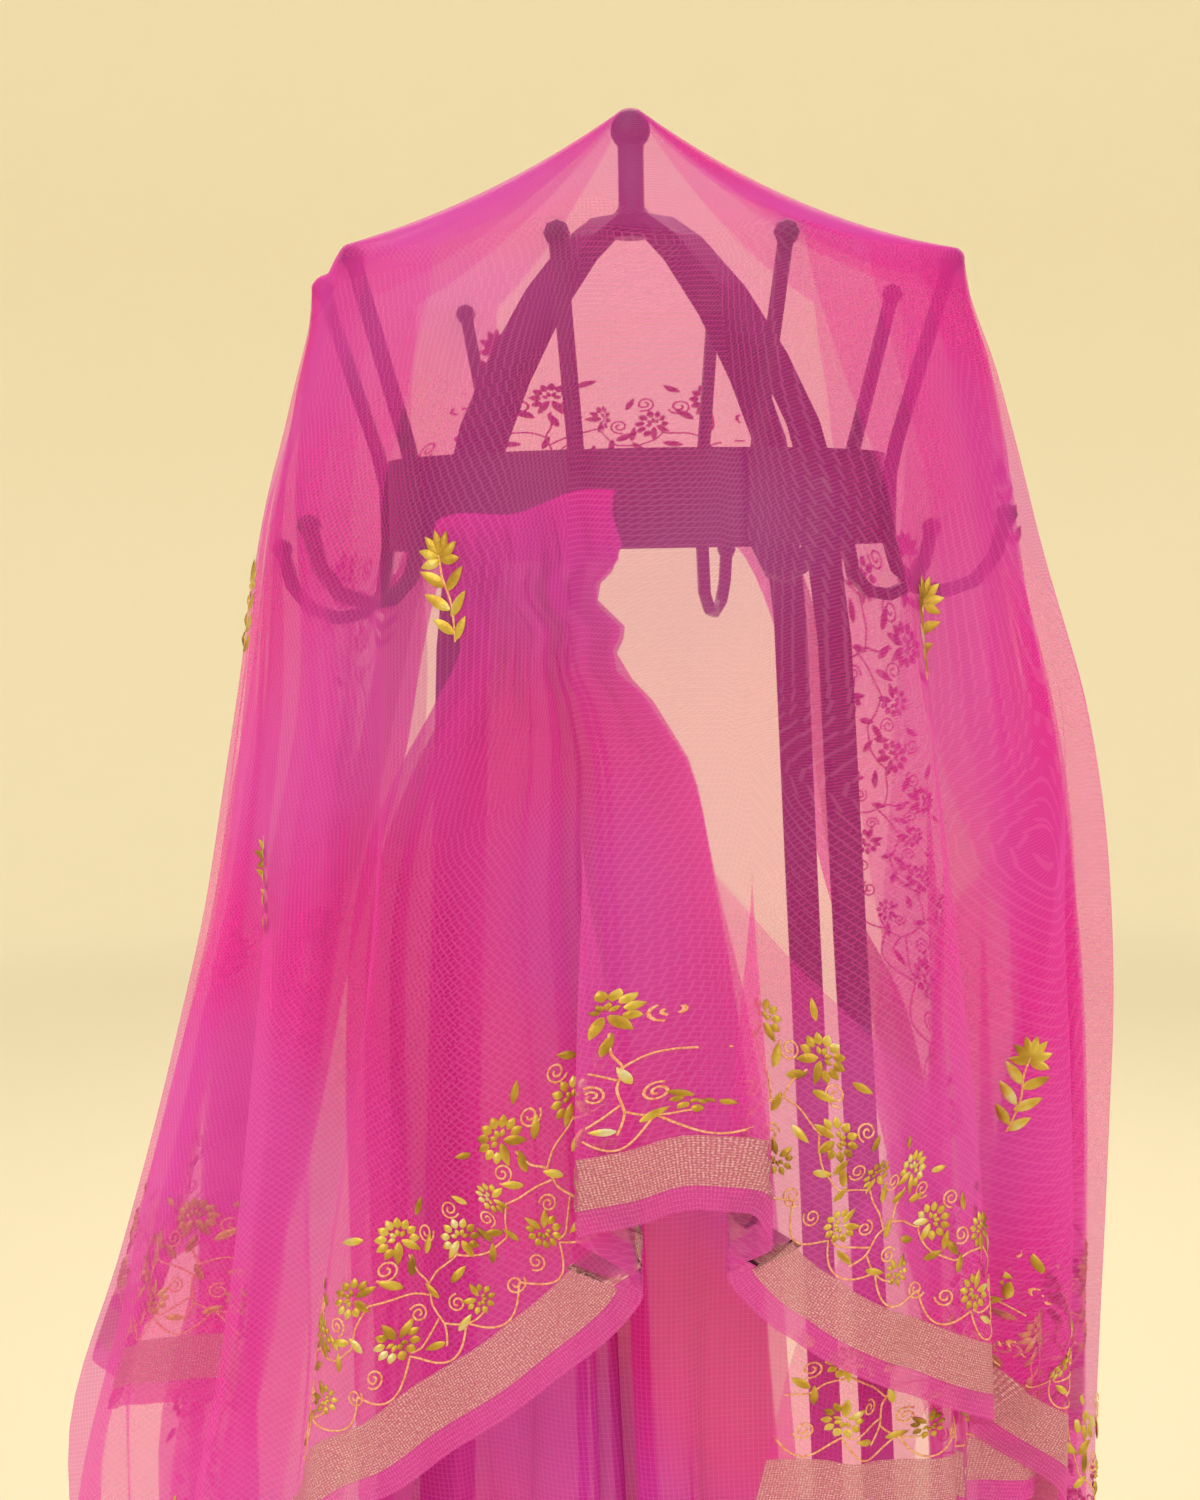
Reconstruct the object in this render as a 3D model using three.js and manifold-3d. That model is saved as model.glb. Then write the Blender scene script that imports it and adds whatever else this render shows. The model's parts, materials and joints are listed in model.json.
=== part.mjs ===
// A sheer checked saree thrown over a tall coat stand. The cloth lies on the stand's knob and arm tips
// as a pointed tent, open at the back and short at the front, and falls in deep folds at both sides.
// The rest of its length is gathered over one front hook, under the tent, and falls in pleats.
// Millimetres, +Z up. Angles are degrees about the stand, 0 at the front (-Y) and 90 at +X.
import * as THREE from 'three';
import { mergeVertices } from 'three/addons/utils/BufferGeometryUtils.js';
import Module from 'manifold-3d';

const GAP = 0.4;

// The stand.
const HEIGHT = 1840;
const KNOB_RADIUS = 11;
const KNOB_Z = HEIGHT - KNOB_RADIUS;
const NECK_RADIUS = 7.2;
const HUB_RADIUS = 11.4;
const HUB_TOP = 1785;
const HUB_BOTTOM = 1771;
const RING_RADIUS = 138.5;
const RING_BAND = 3;
const RING_BOTTOM = 1601;
const RING_TOP = 1650;
const BAR_WIDTH = 22;
const BAR_THICK = 5;
const BAR_ANGLES = [47, 137, -133, -43];
const RING_SIDES = 48;
const RING_INSIDE = (RING_RADIUS - RING_BAND) * Math.cos(Math.PI / RING_SIDES);
const BAR_AT_RING = Math.sqrt(RING_INSIDE ** 2 - (BAR_WIDTH / 2) ** 2) - GAP - BAR_THICK / 2;
const TOE_END = 262;
const WELD_Z = RING_BOTTOM + 21;
// The middle lines of one arch, from the hub down into the ring, and of the leg and toe below it.
const ARCH_LINE = [
  { radius: HUB_RADIUS + GAP, z: 1779 },
  { radius: 20, z: 1778.8 },
  { radius: 40, z: 1766 },
  { radius: 70, z: 1737 },
  { radius: 98, z: 1700 },
  { radius: 119, z: 1664 },
  { radius: BAR_AT_RING - 2, z: RING_TOP - 18 },
  { radius: BAR_AT_RING, z: RING_TOP - 27 },
  { radius: BAR_AT_RING, z: WELD_Z + GAP / 2 },
];
const LEG_LINE = [
  { radius: BAR_AT_RING, z: WELD_Z - GAP / 2 },
  { radius: BAR_AT_RING, z: RING_BOTTOM - 4 },
  { radius: BAR_AT_RING + 7, z: RING_BOTTOM - 50 },
  { radius: 148, z: 1400 },
  { radius: 158, z: 1250 },
  { radius: 181, z: 850 },
  { radius: 205, z: 430 },
  { radius: 224, z: 60 },
  { radius: 228, z: 20 },
  { radius: 233, z: 7 },
  { radius: 241, z: BAR_THICK / 2 },
  { radius: TOE_END, z: BAR_THICK / 2 },
];

// The hooks: one bent rod each, with a ball at the arm's tip and one at the tip of the J below.
// Each hook's place round the ring, and how much higher its J was bent.
const HOOKS = [
  { angle: -95, lift: -12 },
  { angle: -53, lift: 0 },
  { angle: -11.5, lift: 0 },
  { angle: 24.5, lift: 12 },
  { angle: 73, lift: 0 },
  { angle: 118, lift: -6 },
  { angle: 163, lift: -18 },
  { angle: -143, lift: -8 },
];
const ROD_RADIUS = 4.25;
const BALL_RADIUS = 6.3;
const TIP = { radius: 175.5, z: 1748 };
const J_TIP = { radius: 205, z: 1615 };
const J_ROOT = 1604;
const J_INDEX = 5;
const ROD_SIDES = 6;
const ROD_AT_RING = RING_RADIUS + ROD_RADIUS * Math.cos(Math.PI / ROD_SIDES) + GAP - 0.1;
const HOOK_LINE = [
  TIP,
  { radius: ROD_AT_RING + 4.5, z: 1656 },
  { radius: ROD_AT_RING + 0.6, z: 1638 },
  { radius: ROD_AT_RING, z: 1620 },
  { radius: ROD_AT_RING, z: J_ROOT },
  { radius: 147, z: 1588 },
  { radius: 158, z: 1577.5 },
  { radius: 173, z: 1575 },
  { radius: 189, z: 1580.5 },
  { radius: 199.5, z: 1594 },
  J_TIP,
];

// The cloth.
const CLOTH = 2;
const CLEARANCE = 2;
const OVER_BALL = BALL_RADIUS + CLEARANCE + CLOTH / 2;
const APEX_Z = HEIGHT + GAP + CLOTH / 2;
const TENT_COLUMNS = 84;
const WALL_ROWS = 11;
const EAVE_SAG = 5;
const STRAIGHT_DROP = 380;
const DRIFT_DROP = 650;
// The tent's middle radius in four directions, by how far it has dropped from the arm tips.
const WALL = [
  { drop: 0, front: 182, right: 181, back: 181, left: 181 },
  { drop: 70, front: 204, right: 201, back: 199, left: 197 },
  { drop: 140, front: 232, right: 219, back: 217, left: 216 },
  { drop: 250, front: 230, right: 250, back: 223, left: 232 },
  { drop: 340, front: 227, right: 262, back: 226, left: 250 },
  { drop: 430, front: 229, right: 268, back: 229, left: 277 },
  { drop: 550, front: 232, right: 270, back: 232, left: 312 },
  { drop: 680, front: 235, right: 270, back: 235, left: 348 },
  { drop: 1500, front: 238, right: 274, back: 240, left: 362 },
];
const ROOF_SAG = { front: 8, right: 12, back: 8, left: 7 };
// The tent's lower edge.
const HEM = [
  { angle: -160, z: 1603 },
  { angle: -145, z: 1590 },
  { angle: -134, z: 1430 },
  { angle: -122, z: 1010 },
  { angle: -108, z: 420 },
  { angle: -92, z: 250 },
  { angle: -76, z: 330 },
  { angle: -62, z: 700 },
  { angle: -48, z: 1040 },
  { angle: -35, z: 1139 },
  { angle: -14, z: 1222 },
  { angle: -3, z: 1262 },
  { angle: 4, z: 1303 },
  { angle: 13, z: 1262 },
  { angle: 18, z: 1236 },
  { angle: 33, z: 1192 },
  { angle: 45, z: 1158 },
  { angle: 59, z: 1100 },
  { angle: 70, z: 760 },
  { angle: 84, z: 330 },
  { angle: 98, z: 270 },
  { angle: 112, z: 450 },
  { angle: 126, z: 950 },
  { angle: 138, z: 1270 },
  { angle: 150, z: 1400 },
  { angle: 156, z: 1550 },
  { angle: 163, z: 1600 },
];
// The tent's folds, each a valley between two crests: where it lies at the arm tips and lower down, its
// half width in degrees, how deep it runs, the drops where it begins and is full, and how far the crest
// on its left or right leans over it.
const FOLDS = [
  { top: -37, low: -47, half: 8, depth: 36, from: 0, full: 420, lapLeft: 12, lapRight: 0 },
  { top: -60, low: -60, half: 6, depth: 40, from: 210, full: 480, lapLeft: 0, lapRight: 14 },
  { top: -76, low: -76, half: 7, depth: 48, from: 20, full: 460, lapLeft: 14, lapRight: 0 },
  { top: -94, low: -94, half: 7, depth: 56, from: 230, full: 560, lapLeft: 0, lapRight: 16 },
  { top: -118, low: -113, half: 8, depth: 60, from: 20, full: 520, lapLeft: 14, lapRight: 0 },
  { top: -150, low: -134, half: 8, depth: 26, from: 20, full: 400, lapLeft: 0, lapRight: 0 },
  { top: 40, low: 50, half: 7, depth: 40, from: 0, full: 400, lapLeft: 12, lapRight: 0 },
  { top: 64, low: 67, half: 6, depth: 40, from: 220, full: 470, lapLeft: 0, lapRight: 12 },
  { top: 92, low: 83, half: 7, depth: 52, from: 20, full: 500, lapLeft: 12, lapRight: 0 },
  { top: 102, low: 101, half: 6, depth: 52, from: 260, full: 560, lapLeft: 0, lapRight: 14 },
  { top: 122, low: 119, half: 7, depth: 50, from: 200, full: 520, lapLeft: 12, lapRight: 0 },
  { top: 142, low: 136, half: 7, depth: 32, from: 20, full: 420, lapLeft: 0, lapRight: 0 },
];

// The flat pleat in front, which stands out above the hem: its middle, its half width, how far it stands
// out, how much its edges are pinched and the height above the hem over which it fades.
const PLEAT = { middle: 2.7, half: 10.6, out: 15, pinch: 42, fade: 165 };

// The gathered fall: its turn over the hook's tip, then its left and right edges and middle radius.
const FALL_COLUMNS = 30;
const PLEATS = 5;
const FALL_BOW = 22;
const TURN = OVER_BALL + 0.9;
const FALL = [
  { z: J_TIP.z - 19, left: -24, right: -4, radius: J_TIP.radius - 14.5, pleat: 0.5 },
  { z: J_TIP.z - 1, left: -24, right: -3.5, radius: J_TIP.radius - TURN, pleat: 0.5 },
  { z: J_TIP.z + TURN * 0.7, left: -24.5, right: -3, radius: J_TIP.radius - TURN * 0.7, pleat: 0.4 },
  { z: J_TIP.z + TURN, left: -25, right: -3, radius: J_TIP.radius, pleat: 0.4 },
  { z: J_TIP.z + TURN * 0.7, left: -24.5, right: -3, radius: J_TIP.radius + TURN * 0.7, pleat: 0.4 },
  { z: J_TIP.z - 1, left: -24, right: -3, radius: J_TIP.radius + TURN, pleat: 0.5 },
  { z: 1586, left: -23.5, right: -3.5, radius: 210, pleat: 1.5 },
  { z: 1560, left: -23, right: -2, radius: 203, pleat: 4 },
  { z: 1530, left: -26, right: 2, radius: 191, pleat: 6 },
  { z: 1495, left: -30, right: 8, radius: 178, pleat: 8 },
  { z: 1438, left: -33, right: 11, radius: 167, pleat: 10 },
  { z: 1381, left: -34, right: 14, radius: 163, pleat: 11 },
  { z: 1290, left: -34, right: 17, radius: 161, pleat: 12 },
  { z: 1180, left: -34, right: 20, radius: 163, pleat: 13 },
  { z: 1080, left: -34, right: 22, radius: 168, pleat: 14 },
  { z: 880, left: -33, right: 25, radius: 176, pleat: 15 },
  { z: 590, left: -33, right: 27, radius: 184, pleat: 16 },
];
// The slack panel that joins the fall's right edge to the tent's wall.
const SLING_COLUMNS = 6;
const SLING_FIRST_ROW = 9;
const SLING_LAST_ROW = 14;
const SLING_ANGLE = 36;
const SLING_TOP = 1335;
const SLING_FREE = 70;
const SLING_INSET = 24;

const radians = THREE.MathUtils.degToRad;
const mix = THREE.MathUtils.lerp;
const smooth = (x, from, to) => THREE.MathUtils.smoothstep(x, from, to);

// A point at a radius, an angle and a height, moved sideways along the circle by shift.
function polar(radius, angle, z, shift = 0) {
  const a = radians(angle);
  return new THREE.Vector3(
    radius * Math.sin(a) + shift * Math.cos(a),
    -radius * Math.cos(a) + shift * Math.sin(a),
    z,
  );
}

// A smooth curve through a table's rows that never overshoots them; a period makes it run in a ring.
function curve(rows, key, value, period = 0) {
  const knots = rows.map((row) => [row[key], row[value]]);
  if (period) {
    const [first, last] = [knots[0], knots[knots.length - 1]];
    knots.unshift([last[0] - period, last[1]]);
    knots.push([first[0] + period, first[1]]);
  }
  const slope = (i) => (knots[i + 1][1] - knots[i][1]) / (knots[i + 1][0] - knots[i][0]);
  const turn = knots.map((_, i) => {
    if (i === 0 || i === knots.length - 1) return 0;
    const [before, after] = [slope(i - 1), slope(i)];
    return before * after > 0 ? (2 * before * after) / (before + after) : 0;
  });
  return (x) => {
    let i = 0;
    while (i < knots.length - 2 && x > knots[i + 1][0]) i += 1;
    const run = knots[i + 1][0] - knots[i][0];
    const t = THREE.MathUtils.clamp((x - knots[i][0]) / run, 0, 1);
    const step = t * t * (3 - 2 * t);
    const bend = run * (turn[i] * t * (1 - t) ** 2 - turn[i + 1] * t * t * (1 - t));
    return mix(knots[i][1], knots[i + 1][1], step) + bend;
  };
}

const hemZ = curve(HEM, 'angle', 'z', 360);
const wallRadius = {};
for (const side of ['front', 'right', 'back', 'left']) wallRadius[side] = curve(WALL, 'drop', side);

// How much an angle belongs to each of the four directions.
function sides(angle) {
  const [s, c] = [Math.sin(radians(angle)), Math.cos(radians(angle))];
  return {
    front: Math.max(c, 0) ** 2,
    back: Math.max(-c, 0) ** 2,
    right: Math.max(s, 0) ** 2,
    left: Math.max(-s, 0) ** 2,
  };
}

function bySide(angle, valueOf) {
  const share = sides(angle);
  return Object.keys(share).reduce((sum, side) => sum + share[side] * valueOf(side), 0);
}

// Between two arm tips the eave runs straight: how far in that is, and how far across the span.
function eaveSpan(angle) {
  const tips = HOOKS.map((hook) => hook.angle).sort((a, b) => a - b);
  const turned = angle < tips[0] ? angle + 360 : angle;
  let i = tips.length - 1;
  while (i > 0 && turned < tips[i]) i -= 1;
  const next = i === tips.length - 1 ? tips[0] + 360 : tips[i + 1];
  const half = (next - tips[i]) / 2;
  return {
    pull: Math.cos(radians(half)) / Math.cos(radians(turned - tips[i] - half)),
    across: (turned - tips[i]) / (next - tips[i]),
  };
}

// The folds' pull at a point of the wall: inwards, and sideways along the circle.
function foldPull(angle, drop) {
  const pull = { inward: 0, along: 0 };
  for (const fold of FOLDS) {
    const middle = mix(fold.top, fold.low, smooth(drop, 0, DRIFT_DROP));
    const grown = smooth(drop, fold.from, fold.full);
    let off = (angle - middle) / fold.half;
    if (angle - middle > 180) off -= 360 / fold.half;
    if (angle - middle < -180) off += 360 / fold.half;
    pull.inward += fold.depth * grown * Math.exp(-1.4 * off * off);
    pull.along += fold.lapLeft * grown * Math.exp(-1.5 * (off + 1) ** 2);
    pull.along -= fold.lapRight * grown * Math.exp(-1.5 * (off - 1) ** 2);
  }
  return pull;
}

// The front pleat's push at a point of the wall, given the height above the hem.
function pleatPush(angle, height) {
  const grown = 1 - smooth(height, 0, PLEAT.fade);
  const off = (angle - PLEAT.middle) / PLEAT.half;
  const edge = Math.abs(off) - 1;
  const pinch = PLEAT.pinch * edge * Math.exp(-12 * edge * edge) * Math.sign(off);
  return { out: (PLEAT.out * grown) / (1 + off ** 8), along: -pinch * grown };
}

// A point of the tent's wall, by angle and by drop below the arm tips.
function wallPoint(angle, drop) {
  const { pull } = eaveSpan(angle);
  const straight = (1 - pull) * TIP.radius * (1 - smooth(drop, 0, STRAIGHT_DROP));
  const folds = foldPull(angle, drop);
  const pleat = pleatPush(angle, TIP.z + OVER_BALL - drop - hemZ(angle));
  const radius = bySide(angle, (side) => wallRadius[side](drop)) - straight - folds.inward + pleat.out;
  return polar(radius, angle, TIP.z + OVER_BALL - drop, folds.along + pleat.along);
}

// One line of the tent, from under the apex down to the hem.
function tentColumn(angle) {
  const { pull, across } = eaveSpan(angle);
  const sag = EAVE_SAG * Math.sin(Math.PI * across) ** 2;
  const around = (tilt) => ({
    radius: TIP.radius * pull + OVER_BALL * Math.sin(radians(tilt)),
    z: TIP.z - sag + OVER_BALL * Math.cos(radians(tilt)),
  });
  const [inner, corner, outer] = [around(27), around(50), around(72)];
  const start = { radius: 6.2, z: APEX_Z - 1.2 };
  const roofSag = bySide(angle, (side) => ROOF_SAG[side]);
  const line = [polar(start.radius, angle, start.z)];
  for (const share of [0.33, 0.68]) {
    const drop = roofSag * 4 * share * (1 - share);
    line.push(polar(mix(start.radius, inner.radius, share), angle, mix(start.z, inner.z, share) - drop));
  }
  for (const at of [inner, corner, outer]) line.push(polar(at.radius, angle, at.z));
  const eaveDrop = TIP.z + OVER_BALL - outer.z;
  const height = outer.z - hemZ(angle);
  const bend = 1.1 * Math.log(height / 150);
  for (let row = 1; row <= WALL_ROWS; row += 1) {
    const share = Math.expm1((bend * row) / WALL_ROWS) / Math.expm1(bend);
    line.push(wallPoint(angle, eaveDrop + height * share));
  }
  return line;
}

// Angles round the tent, closer together at the folds, with one at each hook.
function tentAngles() {
  const steps = 1440;
  const weight = (angle) => {
    let sum = 1;
    for (const fold of FOLDS) {
      const off = (angle - (fold.top + fold.low) / 2) / (fold.half * 1.7);
      sum += 2.4 * Math.exp(-off * off) * (fold.depth / 40);
    }
    for (const side of [-1, 1]) {
      const off = (angle - PLEAT.middle - side * PLEAT.half) / 2.2;
      sum += 3.6 * Math.exp(-off * off);
    }
    return sum;
  };
  const total = [0];
  for (let i = 0; i < steps; i += 1) total.push(total[i] + weight(-180 + (360 * (i + 0.5)) / steps));
  const angles = [];
  let at = 0;
  for (let column = 0; column < TENT_COLUMNS; column += 1) {
    const wanted = (total[steps] * column) / TENT_COLUMNS;
    while (total[at + 1] <= wanted) at += 1;
    const part = (wanted - total[at]) / (total[at + 1] - total[at]);
    angles.push(-180 + (360 * (at + part)) / steps);
  }
  for (const { angle } of HOOKS) {
    const nearest = nearestTo(angles, angle);
    angles[nearest] = angle;
  }
  return angles;
}

function nearestTo(angles, wanted) {
  const off = (i) => Math.abs(angles[i] - wanted);
  return angles.reduce((best, _, i) => (off(i) < off(best) ? i : best), 0);
}

// A closed solid from a grid of points, grid[column][row], given the cloth's thickness about it. A ring
// closes on its first column, and a tip closes its first row in one point.
function clothSolid(grid, ring = false, tip = null) {
  const columns = grid.length;
  const rows = grid[0].length;
  const at = (i, j) => grid[ring ? (i + columns) % columns : i][j];
  const low = (n) => Math.max(n, 0);
  const normal = (i, j) => {
    const [left, right] = ring ? [i - 1, i + 1] : [low(i - 1), Math.min(i + 1, columns - 1)];
    const across = at(right, j).clone().sub(at(left, j));
    const down = at(i, Math.min(j + 1, rows - 1)).clone().sub(at(i, low(j - 1)));
    return down.cross(across).normalize();
  };
  const positions = [];
  const indices = [];
  for (const side of [0.5, -0.5]) {
    for (let i = 0; i < columns; i += 1) {
      for (let j = 0; j < rows; j += 1) {
        positions.push(at(i, j).clone().addScaledVector(normal(i, j), side * CLOTH));
      }
    }
  }
  const half = columns * rows;
  const id = (i, j, side) => (i % columns) * rows + j + side * half;
  const quad = (a, b, c, d) => indices.push(a, b, c, a, c, d);
  const cells = ring ? columns : columns - 1;
  for (let i = 0; i < cells; i += 1) {
    for (let j = 0; j < rows - 1; j += 1) {
      quad(id(i, j, 0), id(i, j + 1, 0), id(i + 1, j + 1, 0), id(i + 1, j, 0));
      quad(id(i, j, 1), id(i + 1, j, 1), id(i + 1, j + 1, 1), id(i, j + 1, 1));
    }
    quad(id(i, rows - 1, 0), id(i, rows - 1, 1), id(i + 1, rows - 1, 1), id(i + 1, rows - 1, 0));
    if (!tip) quad(id(i, 0, 1), id(i, 0, 0), id(i + 1, 0, 0), id(i + 1, 0, 1));
  }
  if (tip) {
    const [top, under] = [positions.length, positions.length + 1];
    positions.push(tip.clone().setZ(tip.z + CLOTH / 2), tip.clone().setZ(tip.z - CLOTH / 2));
    for (let i = 0; i < columns; i += 1) {
      indices.push(top, id(i, 0, 0), id(i + 1, 0, 0));
      indices.push(under, id(i + 1, 0, 1), id(i, 0, 1));
    }
  }
  if (!ring) {
    for (let j = 0; j < rows - 1; j += 1) {
      quad(id(0, j, 1), id(0, j + 1, 1), id(0, j + 1, 0), id(0, j, 0));
      quad(id(columns - 1, j, 0), id(columns - 1, j + 1, 0), id(columns - 1, j + 1, 1), id(columns - 1, j, 1));
    }
  }
  const geometry = new THREE.BufferGeometry();
  const flat = new Float32Array(positions.flatMap((p) => [p.x, p.y, p.z]));
  geometry.setAttribute('position', new THREE.BufferAttribute(flat, 3));
  geometry.setIndex(indices);
  return geometry;
}

// A point of the gathered fall: share runs across it, 0 at its left edge.
function fallPoint(row, share) {
  const angle = mix(row.left, row.right, share);
  const bow = FALL_BOW * ((angle - 4) / 38) ** 2 * (1 - smooth(row.z, 1450, J_TIP.z - 30));
  const uneven = share + 0.022 * Math.sin(2 * Math.PI * (1.6 * share + 0.2));
  const size = row.pleat * (1 + 0.35 * Math.sin(2 * Math.PI * (1.7 * share + 0.15)));
  const wave = size * Math.cos(2 * Math.PI * PLEATS * uneven);
  const side = 0.5 * size * Math.sin(4 * Math.PI * PLEATS * uneven);
  return polar(row.radius + bow + wave, angle, row.z, side);
}

function fallGrid() {
  const grid = [];
  for (let column = 0; column <= FALL_COLUMNS; column += 1) {
    grid.push(FALL.map((row) => fallPoint(row, column / FALL_COLUMNS)));
  }
  return grid;
}

// The sling starts on the fall's right edge and ends on the tent's wall, and below the hem it ends free.
function slingGrid(fallEdge, wallEdge) {
  const left = fallEdge.slice(SLING_FIRST_ROW, SLING_LAST_ROW + 1);
  const right = wallEdge.filter((point) => point.z < SLING_TOP);
  while (right.length < left.length) {
    const last = right[right.length - 1];
    const free = new THREE.Vector3(last.x, last.y, 0).setLength(Math.hypot(last.x, last.y) - SLING_INSET);
    right.push(free.setZ(last.z - SLING_FREE));
  }
  const grid = [];
  for (let column = 0; column <= SLING_COLUMNS; column += 1) {
    const share = column / SLING_COLUMNS;
    grid.push(left.map((point, row) => point.clone().lerp(right[row], share)));
  }
  return grid;
}

// A round rod along points that lie in one plane; across is square to that plane.
function rodGeometry(points, across, radius, sidesRound) {
  const positions = [];
  const indices = [];
  points.forEach((point, i) => {
    const before = points[Math.max(i - 1, 0)];
    const after = points[Math.min(i + 1, points.length - 1)];
    const along = after.clone().sub(before).normalize();
    const out = new THREE.Vector3().crossVectors(across, along);
    for (let k = 0; k < sidesRound; k += 1) {
      const turn = (2 * Math.PI * (k + 0.5)) / sidesRound;
      const at = point.clone().addScaledVector(out, radius * Math.cos(turn));
      positions.push(at.addScaledVector(across, radius * Math.sin(turn)));
    }
  });
  const id = (i, k) => i * sidesRound + (k % sidesRound);
  for (let i = 0; i < points.length - 1; i += 1) {
    for (let k = 0; k < sidesRound; k += 1) {
      indices.push(id(i, k), id(i, k + 1), id(i + 1, k + 1), id(i, k), id(i + 1, k + 1), id(i + 1, k));
    }
  }
  const last = points.length - 1;
  for (let k = 1; k < sidesRound - 1; k += 1) {
    indices.push(id(0, 0), id(0, k + 1), id(0, k));
    indices.push(id(last, 0), id(last, k), id(last, k + 1));
  }
  const geometry = new THREE.BufferGeometry();
  const flat = new Float32Array(positions.flatMap((p) => [p.x, p.y, p.z]));
  geometry.setAttribute('position', new THREE.BufferAttribute(flat, 3));
  geometry.setIndex(indices);
  return geometry;
}

const wasm = await Module();
wasm.setup();

function solidOf(geometry) {
  const bare = geometry.clone();
  bare.deleteAttribute('normal');
  bare.deleteAttribute('uv');
  const merged = mergeVertices(bare, 1e-4);
  const mesh = new wasm.Mesh({
    numProp: 3,
    vertProperties: merged.attributes.position.array,
    triVerts: new Uint32Array(merged.index.array),
  });
  return new wasm.Manifold(mesh);
}

function joined(geometries) {
  const [first, ...others] = geometries.map(solidOf);
  const mesh = others.reduce((whole, part) => whole.add(part), first).getMesh();
  const geometry = new THREE.BufferGeometry();
  geometry.setAttribute('position', new THREE.BufferAttribute(mesh.vertProperties, 3));
  geometry.setIndex(new THREE.BufferAttribute(mesh.triVerts, 1));
  geometry.computeVertexNormals();
  return geometry;
}

function hookGeometry({ angle, lift }) {
  const lifted = ({ radius, z }, i) => polar(radius, angle, i < J_INDEX ? z : z + lift);
  const points = HOOK_LINE.map(lifted);
  const rod = rodGeometry(points, polar(0, angle, 0, 1), ROD_RADIUS, ROD_SIDES);
  const balls = [points[0], points[points.length - 1]].map((at) => (
    new THREE.SphereGeometry(BALL_RADIUS, 8, 6).translate(at.x, at.y, at.z)
  ));
  return joined([rod, ...balls]);
}

// The bar's side view, thickened about its middle line, and as wide as the flat stock.
function barGeometry(rows, angle) {
  const line = rows.map(({ radius, z }) => new THREE.Vector2(radius, z));
  const edge = (side) => line.map((point, i) => {
    const along = line[Math.min(i + 1, line.length - 1)].clone().sub(line[Math.max(i - 1, 0)]).normalize();
    const at = new THREE.Vector2(along.y, -along.x).multiplyScalar((side * BAR_THICK) / 2).add(point);
    return at.setY(point.y === BAR_THICK / 2 ? point.y + Math.sign(at.y - point.y) * point.y : at.y);
  });
  const outline = new THREE.Shape([...edge(1), ...edge(-1).reverse()]);
  const bar = new THREE.ExtrudeGeometry(outline, { depth: BAR_WIDTH, bevelEnabled: false });
  bar.translate(0, 0, -BAR_WIDTH / 2);
  bar.rotateX(Math.PI / 2);
  return bar.rotateZ(radians(angle - 90));
}

function knobGeometry() {
  const profile = [new THREE.Vector2(0, HUB_BOTTOM), new THREE.Vector2(HUB_RADIUS - 2, HUB_BOTTOM)];
  profile.push(new THREE.Vector2(HUB_RADIUS, HUB_BOTTOM + 2), new THREE.Vector2(HUB_RADIUS, HUB_TOP - 2));
  profile.push(new THREE.Vector2(HUB_RADIUS - 2, HUB_TOP), new THREE.Vector2(NECK_RADIUS, HUB_TOP + 3));
  const low = -Math.acos(NECK_RADIUS / KNOB_RADIUS);
  for (let i = 0; i <= 8; i += 1) {
    const a = mix(low, Math.PI / 2, i / 8);
    profile.push(new THREE.Vector2(i === 8 ? 0 : KNOB_RADIUS * Math.cos(a), KNOB_Z + KNOB_RADIUS * Math.sin(a)));
  }
  return new THREE.LatheGeometry(profile, 16).rotateX(Math.PI / 2);
}

function ringGeometry() {
  const [inner, outer] = [RING_RADIUS - RING_BAND, RING_RADIUS];
  const corners = [[outer, RING_BOTTOM], [outer, RING_TOP], [inner, RING_TOP], [inner, RING_BOTTOM]];
  const profile = corners.map(([radius, z]) => new THREE.Vector2(radius, z));
  return new THREE.LatheGeometry([...profile, profile[0].clone()], RING_SIDES).rotateX(Math.PI / 2);
}

function sareeGeometry() {
  const angles = tentAngles();
  const columns = angles.map(tentColumn);
  const fall = fallGrid();
  const sling = slingGrid(fall[FALL_COLUMNS], columns[nearestTo(angles, SLING_ANGLE)]);
  const tent = clothSolid(columns, true, new THREE.Vector3(0, 0, APEX_Z));
  return joined([tent, clothSolid(fall), clothSolid(sling)]);
}

const painted = { color: '#2a2024', roughness: 0.45, metalness: 0.35 };
const woven = { color: '#ea4f9d', roughness: 0.7, metalness: 0 };
const saree = new THREE.Group();

function place(name, geometry, finish) {
  const mesh = new THREE.Mesh(geometry, new THREE.MeshStandardMaterial(finish));
  mesh.name = name;
  saree.add(mesh);
}

place('stand_knob', knobGeometry(), painted);
place('stand_ring', ringGeometry(), painted);
BAR_ANGLES.forEach((angle, i) => place(`stand_arch_${i + 1}`, barGeometry(ARCH_LINE, angle), painted));
BAR_ANGLES.forEach((angle, i) => place(`stand_leg_${i + 1}`, barGeometry(LEG_LINE, angle), painted));
HOOKS.forEach((hook, i) => place(`stand_hook_${i + 1}`, hookGeometry(hook), painted));
place('saree', sareeGeometry(), woven);

// The origin is on the floor, under the middle of the whole.
const middle = new THREE.Box3().setFromObject(saree).getCenter(new THREE.Vector3());
saree.children.forEach((mesh) => mesh.position.set(-middle.x, -middle.y, 0));

export default saree;
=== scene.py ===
"""A sheer gota patti saree thrown over a tall coat stand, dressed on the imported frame.

The cloth is a fine checked muslin. It lies on the stand's knob and arm tips as a pointed tent, short in
front and long at both sides, and the rest of its length is gathered over one front hook and falls in
pleats under the tent. Sizes are in millimetres about the stand's axis, angles in degrees with 0 at the
front and 90 at +X, and every mesh is turned to metres in the frame's own place.
"""

import json
import logging
import math
from dataclasses import dataclass, field
from enum import Enum

import bpy
import numpy as np
from mathutils import Matrix, Vector

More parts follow.
